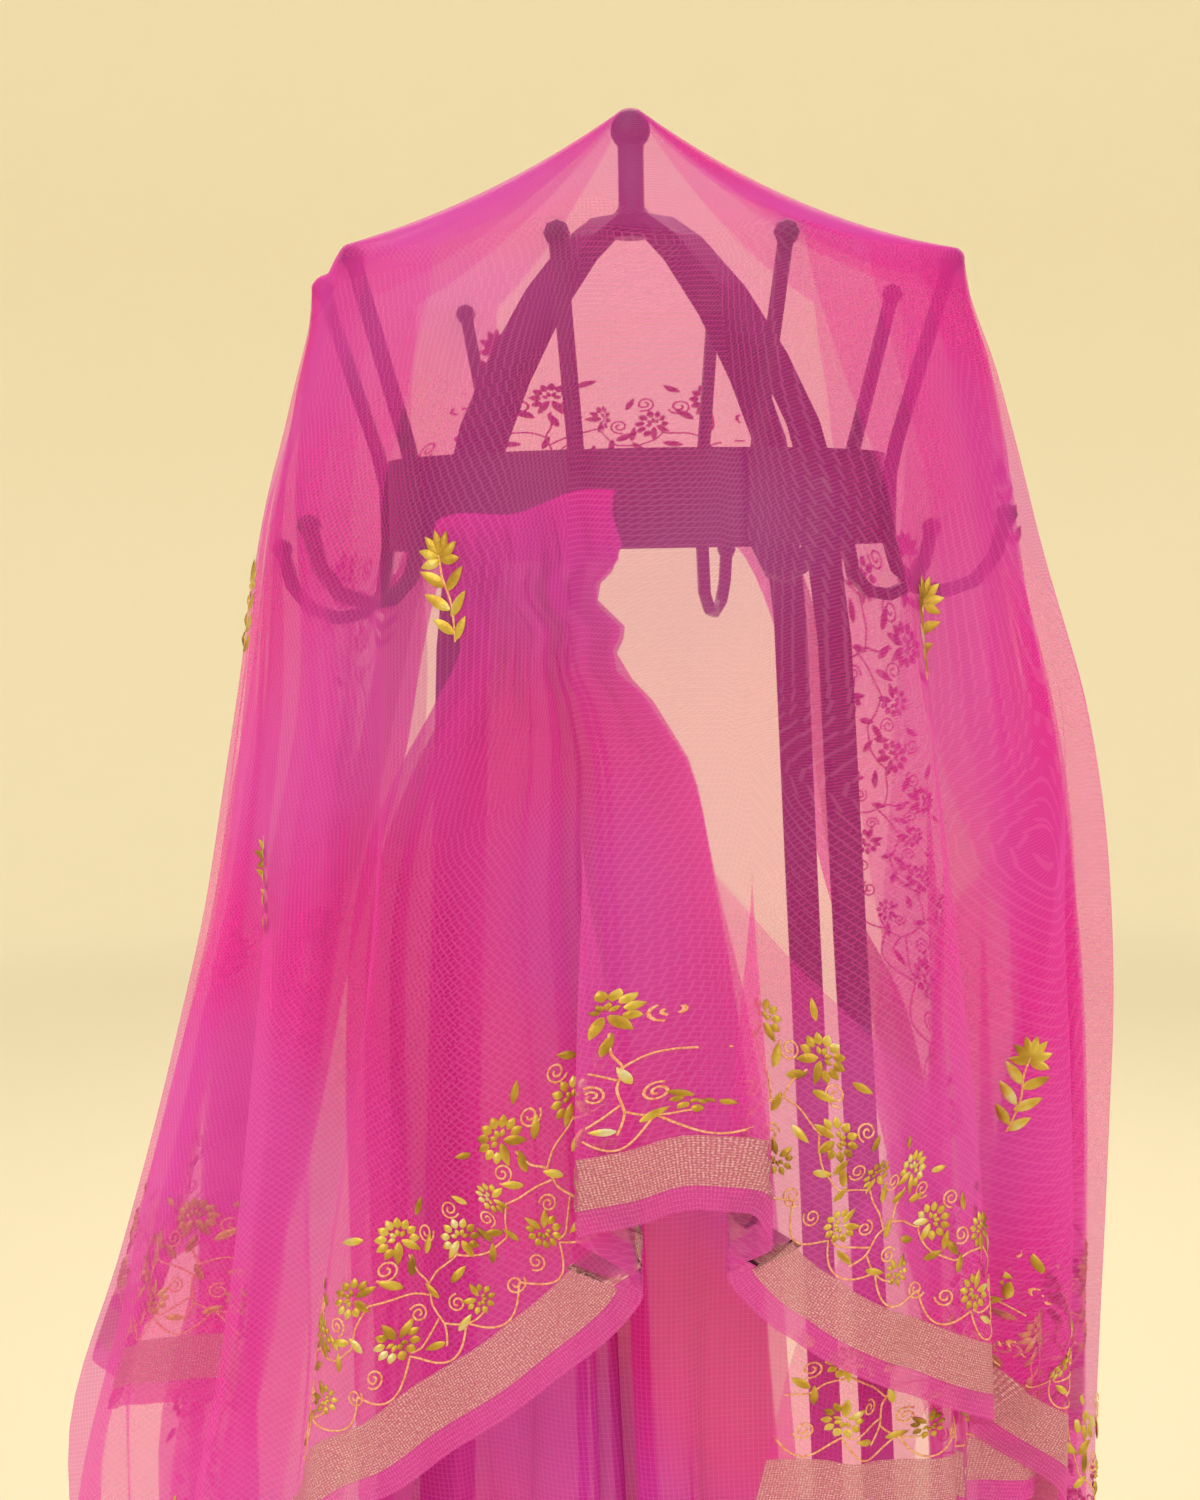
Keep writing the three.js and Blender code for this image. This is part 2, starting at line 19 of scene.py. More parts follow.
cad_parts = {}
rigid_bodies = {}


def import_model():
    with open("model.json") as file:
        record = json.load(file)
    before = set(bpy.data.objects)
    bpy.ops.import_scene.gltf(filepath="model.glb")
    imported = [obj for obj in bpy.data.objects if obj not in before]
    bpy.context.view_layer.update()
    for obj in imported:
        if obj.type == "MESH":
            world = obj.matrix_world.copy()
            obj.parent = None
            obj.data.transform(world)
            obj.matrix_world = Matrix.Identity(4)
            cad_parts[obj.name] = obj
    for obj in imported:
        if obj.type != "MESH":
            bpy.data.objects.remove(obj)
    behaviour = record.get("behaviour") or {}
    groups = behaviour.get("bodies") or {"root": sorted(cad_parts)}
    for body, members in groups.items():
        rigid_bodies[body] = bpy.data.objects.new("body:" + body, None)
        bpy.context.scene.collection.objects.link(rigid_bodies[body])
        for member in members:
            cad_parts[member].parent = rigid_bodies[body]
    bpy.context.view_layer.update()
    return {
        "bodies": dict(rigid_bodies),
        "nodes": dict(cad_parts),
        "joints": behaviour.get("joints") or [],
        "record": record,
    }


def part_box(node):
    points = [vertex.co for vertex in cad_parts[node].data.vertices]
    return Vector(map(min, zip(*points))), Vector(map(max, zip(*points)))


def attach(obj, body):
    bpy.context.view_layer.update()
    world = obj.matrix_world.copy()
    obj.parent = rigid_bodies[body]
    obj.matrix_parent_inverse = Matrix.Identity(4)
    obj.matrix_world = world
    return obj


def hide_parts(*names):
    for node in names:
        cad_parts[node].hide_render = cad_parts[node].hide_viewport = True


LOG = logging.getLogger("saree")
MM = 0.001
BODY = "root"
Array = np.ndarray
Piece = bpy.types.Object
Material = bpy.types.Material
Tree = bpy.types.NodeTree
Socket = bpy.types.NodeSocket


@dataclass(frozen=True)
class Hook:
    """One hook of the stand: its place round the ring, and how much higher its J was bent."""

    angle: float
    lift: float


@dataclass(frozen=True)
class Fold:
    """A valley of a wall of cloth, between two crests.

    It lies at angle top at the arm tips and at angle low further down, is half degrees to each side,
    starts at one drop and is full at another, and the crest on its left or right laps over it.
    """

    top: float
    low: float
    half: float
    depth: float
    begin: float
    full: float
    lap_left: float = 0.0
    lap_right: float = 0.0

    def middle(self, drop: Array) -> Array:
        """Angle of the valley at each drop."""
        return self.top + (self.low - self.top) * smooth(drop, 0, FOLD_LEAN)


HOOKS = (
    Hook(-95, -12),
    Hook(-53, 0),
    Hook(-11.5, 0),
    Hook(24.5, 12),
    Hook(73, 0),
    Hook(118, -6),
    Hook(163, -18),
    Hook(-143, -8),
)
TIP_RADIUS = 175.5
TIP_Z = 1748.0
J_TIP_RADIUS = 205.0
J_TIP_Z = 1615.0
BALL = 6.3
OVER_BALL = BALL + 1.2
# The cloth's height over the arm tips, from which drops are measured.
TOP_Z = TIP_Z + OVER_BALL
# How far down the folds lean, and how far down the wall is still drawn in under the straight eave.
FOLD_LEAN = 650.0
EAVE_FADE = 380.0
SIDES = ("front", "right", "back", "left")

# The tent's middle radius by its drop below the arm tips, towards each of the four sides.
WALL_DROPS = (0, 70, 140, 250, 340, 430, 550, 680, 1500)
WALL_RADII = {
    "front": (182, 204, 232, 230, 227, 229, 232, 235, 238),
    "right": (181, 201, 219, 250, 262, 268, 270, 270, 274),
    "back": (181, 199, 217, 223, 226, 229, 232, 235, 240),
    "left": (181, 197, 216, 232, 250, 277, 312, 348, 362),
}
ROOF_SAG = {"front": 8.0, "right": 12.0, "back": 8.0, "left": 7.0}

# The height of the tent's lower edge by angle.
HEM = (
    (-160, 1603), (-145, 1590), (-134, 1430), (-122, 1010), (-108, 420), (-92, 250), (-76, 330),
    (-62, 700), (-48, 1040), (-35, 1141), (-28, 1160), (-22, 1183), (-16, 1212), (-9.5, 1257),
    (-5.5, 1290), (0, 1297), (5, 1303), (9, 1300), (11, 1285), (14.5, 1263), (18, 1236), (23, 1216),
    (33, 1192), (45, 1158), (59, 1100), (70, 760), (84, 330), (98, 270), (112, 450), (126, 950),
    (138, 1270), (150, 1400), (156, 1550), (163, 1600),
)

FOLDS = (
    Fold(-37, -47, 8, 36, 0, 420, 12, 0),
    Fold(-60, -60, 6, 40, 210, 480, 0, 14),
    Fold(-76, -78, 7, 24, 20, 460, 8, 0),
    Fold(-94, -94, 7, 26, 230, 560, 0, 8),
    Fold(-118, -113, 8, 50, 20, 520, 14, 0),
    Fold(-150, -134, 8, 26, 20, 400),
    Fold(40, 50, 7, 40, 0, 400, 12, 0),
    Fold(64, 67, 6, 40, 220, 470, 0, 12),
    Fold(92, 83, 7, 52, 20, 500, 12, 0),
    Fold(102, 101, 6, 52, 260, 560, 0, 14),
    Fold(122, 119, 7, 50, 200, 520, 12, 0),
    Fold(142, 136, 7, 32, 20, 420),
)

# The front box pleat: for an angle, how far the cloth is moved sideways and out, in millimetres.
PLEAT = (
    (-24, 0, 0), (-16, 16, -1), (-9.5, 36, -3), (-5.5, -9, 12), (2, 0, 15), (7, 6, 15),
    (11, 11, 12), (14.5, -21, -3), (19, -7, -1), (27, 0, 0),
)

# Between these heights above the hem the pleat fades out.
PLEAT_FADE = (20, 270)

# Small waves of the wall: height, waves round the stand, lean for each millimetre down, and start.
RIPPLES = ((1.5, 23, 0.006, 0.7), (1.1, 37, -0.011, 2.1), (0.9, 11, 0.019, 0.0), (0.5, 61, 0.014, 1.3))

# Tilts from upright of the rows on the knob and of the rows round the tips' balls.
CAP_TILTS = (0.5, 9, 18, 26)
EAVE_TILTS = (27, 38, 50, 61, 72)

# The pleat's edges, where the columns lie closer together, and the lines where its gores part.
PLEAT_EDGES = (-9.0, 12.5)
GORE_EDGES = (-7.5, 12.7)

# The gathered fall, level by level: height, left edge, right edge, middle radius and pleat depth.
TURN = OVER_BALL + 0.9
FALL = (
    (J_TIP_Z - 19, -24, -4, J_TIP_RADIUS - 13.5, 0.5),
    (J_TIP_Z - 1, -24.5, -3.5, J_TIP_RADIUS - TURN, 0.8),
    (J_TIP_Z + TURN * 0.7, -25, -3, J_TIP_RADIUS - TURN * 0.7, 1.0),
    (J_TIP_Z + TURN, -26, -2.5, J_TIP_RADIUS, 1.2),
    (J_TIP_Z + TURN * 0.7, -26, -2.5, J_TIP_RADIUS + TURN * 0.7, 1.4),
    (J_TIP_Z - 1, -26, -2.5, J_TIP_RADIUS + TURN, 2.0),
    (1586, -25, -3.5, 211, 4),
    (1560, -23, -3.5, 206, 5.5),
    (1530, -29, 1.5, 193, 7),
    (1495, -38, 8, 180, 9),
    (1438, -48, 12, 170, 11),
    (1381, -53, 16, 165, 12),
    (1290, -55, 20, 163, 13),
    (1180, -55, 22, 165, 14),
    (1080, -54, 24, 170, 15),
    (880, -52, 26, 178, 16),
    (590, -50, 28, 186, 17),
)
FALL_TOP = max(row[0] for row in FALL)


def smooth(x: Array, low: float, high: float) -> Array:
    """Rise from 0 at low to 1 at high along 3t^2 - 2t^3, flat outside."""
    t = np.clip((x - low) / (high - low), 0.0, 1.0)
    return t * t * (3.0 - 2.0 * t)


def near(x: Array, middle: float, width: float) -> Array:
    """A bell curve of x round a middle: 1 there and 0.37 at the width."""
    return np.exp(-(((x - middle) / width) ** 2))


def unit(vectors: Array) -> Array:
    """Bring vectors to length 1."""
    return vectors / np.maximum(np.linalg.norm(vectors, axis=-1, keepdims=True), 1e-6)


def bell(count: int) -> Array:
    """Weights of a bell curve that add up to 1."""
    weights = np.hanning(count + 2)[1:-1]
    return weights / weights.sum()


def curve(knots: Array, x: Array) -> Array:
    """Run a smooth line through a table without overshooting it.

    Each span is a cubic whose end slopes are the harmonic means of the spans beside it.

    Args:
        knots: One row for each point, with its place first and its values after it.
        x: The places asked for.

    Returns:
        The values there, with the values' axis last where the table has several.
    """
    knots = np.asarray(knots, float)
    place, value = knots[:, 0], knots[:, 1:]
    run = np.diff(place)[:, None]
    rise = np.diff(value, axis=0) / run
    slope = np.zeros_like(value)
    product = rise[:-1] * rise[1:]
    total = np.where(product > 0, rise[:-1] + rise[1:], 1.0)
    slope[1:-1] = np.where(product > 0, 2.0 * product / total, 0.0)
    x = np.asarray(x, float)
    i = np.clip(np.searchsorted(place, x) - 1, 0, len(place) - 2)
    span = (place[i + 1] - place[i])[..., None]
    t = np.clip((x[..., None] - place[i][..., None]) / span, 0.0, 1.0)
    step = t * t * (3.0 - 2.0 * t)
    out = value[i] * (1.0 - step) + value[i + 1] * step
    out = out + span * (slope[i] * t * (1.0 - t) ** 2 - slope[i + 1] * t * t * (1.0 - t))
    return out[..., 0] if value.shape[1] == 1 else out


def ringed(rows: tuple) -> Array:
    """Give a table of angles one more row at each end, a full turn away."""
    table = np.asarray(rows, float)
    before, after = table[-1].copy(), table[0].copy()
    before[0] -= 360.0
    after[0] += 360.0
    return np.vstack([before, table, after])


HEM_KNOTS = ringed(HEM)


def hem_z(angle: Array) -> Array:
    """Height of the tent's lower edge at each angle."""
    return curve(HEM_KNOTS, angle)


def turned(angle: Array) -> Array:
    """Bring angles into the range from -180 to 180."""
    return (np.asarray(angle, float) + 180.0) % 360.0 - 180.0


def by_side(angle: Array, values: dict) -> Array:
    """Blend four directions' values by the squared cosine and sine of the angle."""
    a = np.radians(angle)
    s, c = np.sin(a), np.cos(a)
    return (
        np.maximum(c, 0) ** 2 * values["front"]
        + np.maximum(-c, 0) ** 2 * values["back"]
        + np.maximum(s, 0) ** 2 * values["right"]
        + np.maximum(-s, 0) ** 2 * values["left"]
    )


def polar(radius: Array, angle: Array, z: Array, shift: Array = 0.0) -> Array:
    """Points at a radius, angle and height, moved sideways along the circle by shift."""
    a = np.radians(angle)
    x = radius * np.sin(a) + shift * np.cos(a)
    y = -radius * np.cos(a) + shift * np.sin(a)
    return np.stack(np.broadcast_arrays(x, y, z), axis=-1)


def eave_span(angle: Array) -> tuple[Array, Array]:
    """Place angles on the straight eave between two arm tips.

    Args:
        angle: Angles in the range from -180 to 180.

    Returns:
        How far in the straight line lies, as a share of the tips' radius, and how far across it runs.
    """
    tips = np.sort([hook.angle for hook in HOOKS])
    tips = np.append(tips, tips[0] + 360.0)
    at = np.where(angle < tips[0], angle + 360.0, angle)
    i = np.clip(np.searchsorted(tips, at, side="right") - 1, 0, len(tips) - 2)
    half = (tips[i + 1] - tips[i]) / 2.0
    pull = np.cos(np.radians(half)) / np.cos(np.radians(at - tips[i] - half))
    return pull, (at - tips[i]) / (2.0 * half)


def fold_pull(angle: Array, drop: Array, folds: tuple) -> tuple[Array, Array]:
    """Add up the folds' pull: bell curves inwards, and the crests' lean sideways.

    Args:
        angle: Angles in the range from -180 to 180.
        drop: Drops below the arm tips.
        folds: The folds of this wall.

    Returns:
        The pull inwards and the shift along the circle.
    """
    inward = np.zeros(np.broadcast(angle, drop).shape)
    along = np.zeros_like(inward)
    for fold in folds:
        grown = smooth(drop, fold.begin, fold.full)
        off = turned(angle - fold.middle(drop)) / fold.half
        inward += fold.depth * grown * np.exp(-1.4 * off * off)
        along += fold.lap_left * grown * np.exp(-1.5 * (off + 1.0) ** 2)
        along -= fold.lap_right * grown * np.exp(-1.5 * (off - 1.0) ** 2)
    return inward, along


def ripples(angle: Array, drop: Array) -> Array:
    """Small uneven waves of hanging cloth, sums of sines that run mostly down and fade in."""
    a = np.radians(angle)
    wave = sum(size * np.sin(turns * a + lean * drop + start) for size, turns, lean, start in RIPPLES)
    return wave * smooth(drop, 20, 320)


def wall_radius(angle: Array, drop: Array) -> Array:
    """The wall's middle radius: the four sides' blend, less the straight eave's pull."""
    table = np.column_stack([WALL_DROPS, *(WALL_RADII[side] for side in SIDES)])
    sides = dict(zip(SIDES, np.moveaxis(curve(table, drop), -1, 0)))
    pull, _ = eave_span(angle)
    return by_side(angle, sides) - (1.0 - pull) * TIP_RADIUS * (1.0 - smooth(drop, 0, EAVE_FADE))


def wall_point(angle: Array, drop: Array) -> Array:
    """Points of the tent's wall.

    The radius is the wall's middle one, less the folds, plus the front pleat and small ripples; the
    folds and the pleat also move it sideways.

    Args:
        angle: Angles about the stand.
        drop: Drops below the arm tips.

    Returns:
        Points in millimetres about the stand's axis.
    """
    angle = turned(angle)
    inward, along = fold_pull(angle, drop, FOLDS)
    z = TOP_Z - drop
    grown = 1.0 - smooth(z - hem_z(angle), *PLEAT_FADE)
    pleat = curve(np.asarray(PLEAT, float), angle)
    radius = wall_radius(angle, drop) - inward + pleat[..., 1] * grown + ripples(angle, drop)
    return polar(radius, angle, z, along + pleat[..., 0] * grown)


@dataclass
class GridSheet:
    """A sheet of cloth as a grid of points, rows down and columns across.

    Attributes:
        points: Rows by columns by 3, in millimetres about the axis.
        uv: Rows - 1 by columns - 1 by 4 corners by 2, the weave's own coordinates in metres.
    """

    points: Array
    uv: Array


def face_corners(values: Array) -> Array:
    """Pick the four corners of each cell of a grid, in the order that faces outwards."""
    return np.stack([values[:-1, :-1], values[1:, :-1], values[1:, 1:], values[:-1, 1:]], axis=2)


def cell_faces(number: Array) -> Array:
    """Corner numbers of each cell of a flat grid of points, so that its faces look up."""
    corners = [number[:-1, :-1], number[:-1, 1:], number[1:, 1:], number[1:, :-1]]
    return np.stack(corners, axis=-1).reshape(-1, 4)


def repeated(faces: Array, points: int, count: int) -> Array:
    """Number the faces of several copies of one set of points, one copy after the other."""
    shift = (np.arange(count) * points)[:, None, None]
    return (faces[None] + shift).reshape(-1, faces.shape[1])


def add_mesh(name: str, verts: Array, faces: Array, uv: Array | None, centre: Array) -> Piece:
    """Make an object from arrays of points, faces and face-corner coordinates.

    Args:
        name: The piece's name.
        verts: Points in millimetres about the axis.
        faces: Corner numbers, one row a face.
        uv: Coordinates for each face corner in metres, or None.
        centre: The axis's place in metres.

    Returns:
        The new object, at the origin, smooth shaded.
    """
    mesh = bpy.data.meshes.new(name)
    corners = faces.shape[1]
    mesh.vertices.add(len(verts))
    mesh.vertices.foreach_set("co", (verts * MM + centre).astype(np.float32).ravel())
    mesh.loops.add(faces.size)
    mesh.loops.foreach_set("vertex_index", faces.astype(np.int32).ravel())
    mesh.polygons.add(len(faces))
    mesh.polygons.foreach_set("loop_start", np.arange(0, faces.size, corners, dtype=np.int32))
    mesh.polygons.foreach_set("use_smooth", np.ones(len(faces), bool))
    if uv is not None:
        layer = mesh.uv_layers.new(name="weave")
        layer.data.foreach_set("uv", uv.astype(np.float32).ravel())
    mesh.update(calc_edges=True)
    mesh.validate()
    piece = bpy.data.objects.new(name, mesh)
    bpy.context.scene.collection.objects.link(piece)
    return piece


def joined_sheets(name: str, sheets: list[GridSheet], centre: Array) -> Piece:
    """Put several grids of cloth into one open mesh."""
    verts, faces, uvs = [], [], []
    start = 0
    for sheet in sheets:
        rows, columns = sheet.points.shape[:2]
        number = np.arange(rows * columns).reshape(rows, columns) + start
        verts.append(sheet.points.reshape(-1, 3))
        faces.append(face_corners(number).reshape(-1, 4))
        uvs.append(sheet.uv.reshape(-1, 4, 2))
        start += rows * columns
    return add_mesh(name, np.vstack(verts), np.vstack(faces), np.vstack(uvs), centre)


def lengths(points: Array, axis: int) -> Array:
    """Running length along one axis of a grid of points, starting at 0."""
    step = np.linalg.norm(np.diff(points, axis=axis), axis=-1)
    total = np.cumsum(step, axis=axis)
    start = np.zeros_like(np.take(total, [0], axis=axis))
    return np.concatenate([start, total], axis=axis)


def crown(at: Array, under: float = 0.0, roof_rows: int = 14) -> Array:
    """Lay the cloth over the knob, along the roof and round the eave over the tips' balls.

    Args:
        at: The columns' angles.
        under: How far under the outermost cloth this thickness lies.
        roof_rows: Rows between the knob and the eave.

    Returns:
        Rows by columns by 3, down to the top of the wall.
    """
    knob_z, knob_over, eave_sag = 1829.0, 11.9 - under, 5.0
    pull, across = eave_span(at)
    sag = eave_sag * np.sin(np.pi * across) ** 2
    cap = []
    for tilt in CAP_TILTS:
        t = math.radians(tilt)
        cap.append(polar(knob_over * math.sin(t), at, knob_z + knob_over * math.cos(t)))
    over = OVER_BALL - under
    tilt = np.radians(EAVE_TILTS)[:, None]
    eave = polar(TIP_RADIUS * pull + over * np.sin(tilt), at, TIP_Z - sag + over * np.cos(tilt))
    share = np.linspace(0, 1, roof_rows + 2)[1:-1, None, None]
    roof = cap[-1] * (1 - share) + eave[0] * share
    roof[..., 2] -= (by_side(at, ROOF_SAG) + 3 * under) * 4 * share[..., 0] * (1 - share[..., 0])
    return np.concatenate([np.stack(cap), roof, eave])


@dataclass
class Tent:
    """The cloth over the knob and the arm tips: a roof, an eave round the tips and a folded wall.

    Attributes:
        columns: Columns of cells round the stand.
        wall_rows: Rows of cells down the wall.
        even_reach: How many columns to each side are evened out before the weave is measured.
        most_tilt: The most that a gore's threads are turned, in radians.
    """

    columns: int = 404
    wall_rows: int = 74
    even_reach: int = 17
    most_tilt: float = 0.8

    def angles(self) -> Array:
        """Angles of the columns, closer together at the folds and at the front pleat's edges."""
        at = np.linspace(-180, 180, 7201)
        weight = np.ones_like(at)
        for fold in FOLDS:
            off = turned(at - (fold.top + fold.low) / 2) / (fold.half * 1.9)
            weight += 1.3 * np.exp(-off * off)
        for edge in PLEAT_EDGES:
            weight += 5.0 * near(at, edge, 4.5)
        total = np.concatenate([[0.0], np.cumsum((weight[1:] + weight[:-1]) / 2)])
        return np.interp(np.linspace(0, total[-1], self.columns + 1), total, at)

    def points(self, angles: Array) -> Array:
        """Lay the tent's grid of points.

        The roof is a cap on the knob and then a sagging line to each eave, the eave is an arc over the
        tips' balls, and the wall's rows share out the height down to the hem, closer at the top.

        Args:
            angles: The columns' angles.

        Returns:
            Rows by columns by 3.
        """
        at = turned(angles)
        rows = crown(at)
        eave = rows[-1:]
        top = TOP_Z - eave[-1, :, 2]
        height = eave[-1, :, 2] - hem_z(at)
        bend = 0.4 * np.log(height / 150.0)
        share = np.linspace(0, 1, self.wall_rows + 1)[1:, None]
        drop = top + height * np.expm1(bend * share) / np.expm1(bend)
        wall = wall_point(np.broadcast_to(at, drop.shape), drop)
        return np.concatenate([rows, wall])

    def gores(self, angles: Array, points: Array) -> Array:
        """Number the gore of each cell: the folds and the front pleat's edges part them."""
        drop = np.clip(TOP_Z - points[..., 2], 0, None)
        drop = (drop[:-1, :-1] + drop[1:, 1:]) / 2
        at = ((angles[:-1] + angles[1:]) / 2)[None, :]
        number = np.zeros(drop.shape, int)
        for fold in FOLDS:
            number += at > fold.middle(drop)
        for edge in GORE_EDGES:
            number += at > edge
        return number

    def weave(self, angles: Array, points: Array) -> Array:
        """Give each cell's corners the weave's coordinates, laid flat gore by gore.

        Within a gore, s runs level across the cloth from the gore's middle and h runs up it. The
        threads are turned so that they run along and square to the hem below.

        Args:
            angles: The columns' angles.
            points: The tent's grid.

        Returns:
            Rows - 1 by columns - 1 by 4 by 2, in metres.
        """
        reach = self.even_reach
        wrapped = np.concatenate([points[:, -1 - reach : -1], points, points[:, 1 : 1 + reach]], axis=1)
        even = sum(k * wrapped[:, i : i + points.shape[1]] for i, k in enumerate(bell(2 * reach + 1)))
        flat = even.copy()
        flat[..., 2] = 0.0
        level = lengths(flat, 1)
        up = -lengths(even, 0)
        number = self.gores(angles, points)
        s, z = face_corners(level), face_corners(even[..., 2])
        out = np.zeros((*number.shape, 4, 2))
        edge = number[-1]
        for gore in range(number.max() + 1):
            cells = np.flatnonzero(edge == gore)
            if len(cells) == 0:
                continue
            first, last = cells[0], cells[-1] + 1
            middle = (first + last) // 2
            run = level[-1, last] - level[-1, first]
            tilt = math.atan2(points[-1, last, 2] - points[-1, first, 2], max(run, 1.0))
            tilt = float(np.clip(tilt, -self.most_tilt, self.most_tilt))
            across = s - level[:, middle][:-1, None, None]
            fall = np.minimum.accumulate(even[:, middle, 2] - 1e-4 * np.arange(len(even)))
            h = np.interp(-z, -fall, up[:, middle]) - np.maximum(fall[-1] - z, 0)
            c, sn = math.cos(tilt), math.sin(tilt)
            u = across * c + h * sn + 137.0 * gore
            v = -across * sn + h * c
            mine = number == gore
            out[mine] = np.stack([u[mine], v[mine]], axis=-1)
        return out * MM

    def sheet(self) -> GridSheet:
        """Build the tent's cloth."""
        angles = self.angles()
        points = self.points(angles)
        points[:, -1] = points[:, 0]
        return GridSheet(points, self.weave(angles, points))


def plain_weave(points: Array) -> Array:
    """Coordinates for cloth that hangs straight: running length across and down, in metres."""
    across = lengths(points, 1)
    middle = across.shape[1] // 2
    across = across - across[:, middle : middle + 1]
    down = np.broadcast_to(lengths(points, 0)[:, middle : middle + 1], across.shape)
    return face_corners(np.stack([across, -down], axis=-1)) * MM


@dataclass
class Fall:
    """The gathered cloth that turns over one hook's tip and falls in broad soft pleats.

    Attributes:
        pleats: How many pleats lie across this thickness.
        inset: How far inside the outermost thickness it hangs.
        phase: Where its first pleat starts, in turns.
        depth: How deep its pleats are, as a share of the table's.
        columns: Columns of points across it.
        rows: Rows of points down it, besides those of the turn over the tip.
        bow: How far its sides stand out from its middle.
        frill_z: Height of the frill at its right edge.
        crease_z: Height of the creases under the gather.
    """

    pleats: float = 4.6
    inset: float = 0.0
    phase: float = 0.0
    depth: float = 1.0
    columns: int = 160
    rows: int = 78
    bow: float = 20.0
    frill_z: float = 1578.0
    crease_z: float = 1545.0

    def levels(self) -> Array:
        """Spread the fall's table over more rows, by running length down it."""
        table = np.asarray(FALL, float)
        step = np.hypot(np.diff(table[:, 0]), np.diff(table[:, 3]))
        down = np.concatenate([[0.0], np.cumsum(step)])
        fine = np.linspace(0, 1, self.rows) ** 1.25 * down[-1]
        fine = np.union1d(fine, down[:9])
        return curve(np.column_stack([down, table]), fine)

    def points(self) -> Array:
        """Lay the pleats: a wave in and out, with a sideways lean twice as quick, both uneven.

        The gather is frilled at its right edge, and small creases fan down from it.
        """
        z, left, right, radius, pleat = self.levels().T[:, :, None]
        share = np.linspace(0, 1, self.columns)[None, :]
        frill = near(z, self.frill_z, 34)
        right = right + 1.9 * frill * np.sin(2 * np.pi * z / 37)
        angle = left + (right - left) * share
        bow = self.bow * ((angle + 12) / 38) ** 2 * (1 - smooth(z, 1450, J_TIP_Z - 30))
        uneven = share + 0.03 * np.sin(2 * np.pi * (1.3 * share + 0.2)) + self.phase
        uneven = uneven + 0.016 * np.sin(2 * np.pi * (2.6 * share + 0.0011 * z))
        size = self.depth * pleat * (1 + 0.4 * np.sin(2 * np.pi * (1.7 * share + 0.15)))
        phase = 2 * np.pi * self.pleats * uneven + 0.4 * np.sin(z / 120.0)
        wave = size * np.cos(phase)
        side = 0.7 * size * np.sin(2 * phase)
        crease = near(z, self.crease_z, 70)
        wave = wave + crease * (2.2 * np.sin(71 * share + z / 16) + 1.6 * np.sin(43 * share - z / 11 + 1.1))
        wave = wave * smooth(share, 0.0, 0.03) * smooth(1 - share, 0.0, 0.03)
        wave = wave + frill * 5 * smooth(share, 0.85, 1.0) * np.sin(z / 5.2)
        below = smooth(-z, -J_TIP_Z, 80 - J_TIP_Z)
        inset = np.minimum(self.inset, 0.07 * self.inset + 0.9 * self.inset * below)
        rim = near(z, FALL_TOP, 13)
        z = z + rim * (13 * share - 8 + 2.5 * np.sin(8.5 * share + 1.0))
        loose = smooth(FALL[-1][0] + 200 - z, 0, 200)
        z = z + loose * (5 * np.sin(2 * np.pi * (1.6 * share + 0.1 + self.phase)) + 0.4 * self.inset)
        return polar(radius + bow + wave - inset, angle, z, side)

    def sheet(self) -> GridSheet:
        """Build the fall's cloth."""
        points = self.points()
        return GridSheet(points, plain_weave(points))


FALLS = (
    Fall(3.4, 0.0, 0.1, depth=0.6),
    Fall(4.6, 9.0, 0.3, depth=0.5, columns=130, rows=64),
)


@dataclass
class Sling:
    """The slack cloth between the fall's right edge and the tent's wall.

    Attributes:
        columns: Columns of points across it.
        rows: Rows of points down it.
        left_top: Height of its top at the fall.
        left_low: Height of its foot there.
        top: Height of its top at the wall.
        free: How far its foot hangs below the wall's hem.
        inset: How far inside the wall it hangs.
        angle: The angle at which it meets the wall.
    """

    columns: int = 44
    rows: int = 60
    left_top: float = 1445.0
    left_low: float = 1065.0
    top: float = 1335.0
    free: float = 70.0
    inset: float = 24.0
    angle: float = 36.0

    def sheet(self, fall_edge: Array) -> GridSheet:
        """Rule the cloth from one edge to the other, with a sag that grows to the middle.

        Args:
            fall_edge: The fall's right edge, from the top down.

        Returns:
            The sling's cloth.
        """
        share = np.linspace(0, 1, self.rows)[:, None]
        down = fall_edge[::-1]
        left_z = self.left_top - (self.left_top - self.left_low) * share[:, 0]
        left = np.column_stack([np.interp(left_z, down[:, 2], down[:, k]) for k in range(3)])
        hem = float(hem_z(np.array(self.angle)))
        right_z = self.top - (self.top - hem + self.free) * share[:, 0]
        angle = np.full(self.rows, self.angle)
        right = wall_point(angle, TOP_Z - np.maximum(right_z, hem))
        inset = 2 + (self.inset - 2) * smooth(hem - right_z + 30, 0, 60)
        right *= (1 - inset / np.linalg.norm(right[:, :2], axis=1))[:, None]
        right[:, 2] = right_z
        across = np.linspace(0, 1, self.columns)[None, :, None]
        points = left[:, None] * (1 - across) + right[:, None] * across
        sag = np.sin(np.pi * across[..., 0])
        points[..., 2] -= 16.0 * sag * (0.4 + 0.6 * share)
        points[..., 1] += 3.0 * np.sin(2 * np.pi * (2.3 * across[..., 0] + 0.7 * share)) * sag
        return GridSheet(points, plain_weave(points))


def inner_folds(begin: float, *rows: tuple) -> tuple:
    """Folds of an inner layer: rows of top, low, half, depth and the two laps."""
    return tuple(Fold(*row[:4], begin, 420, *row[4:]) for row in rows)


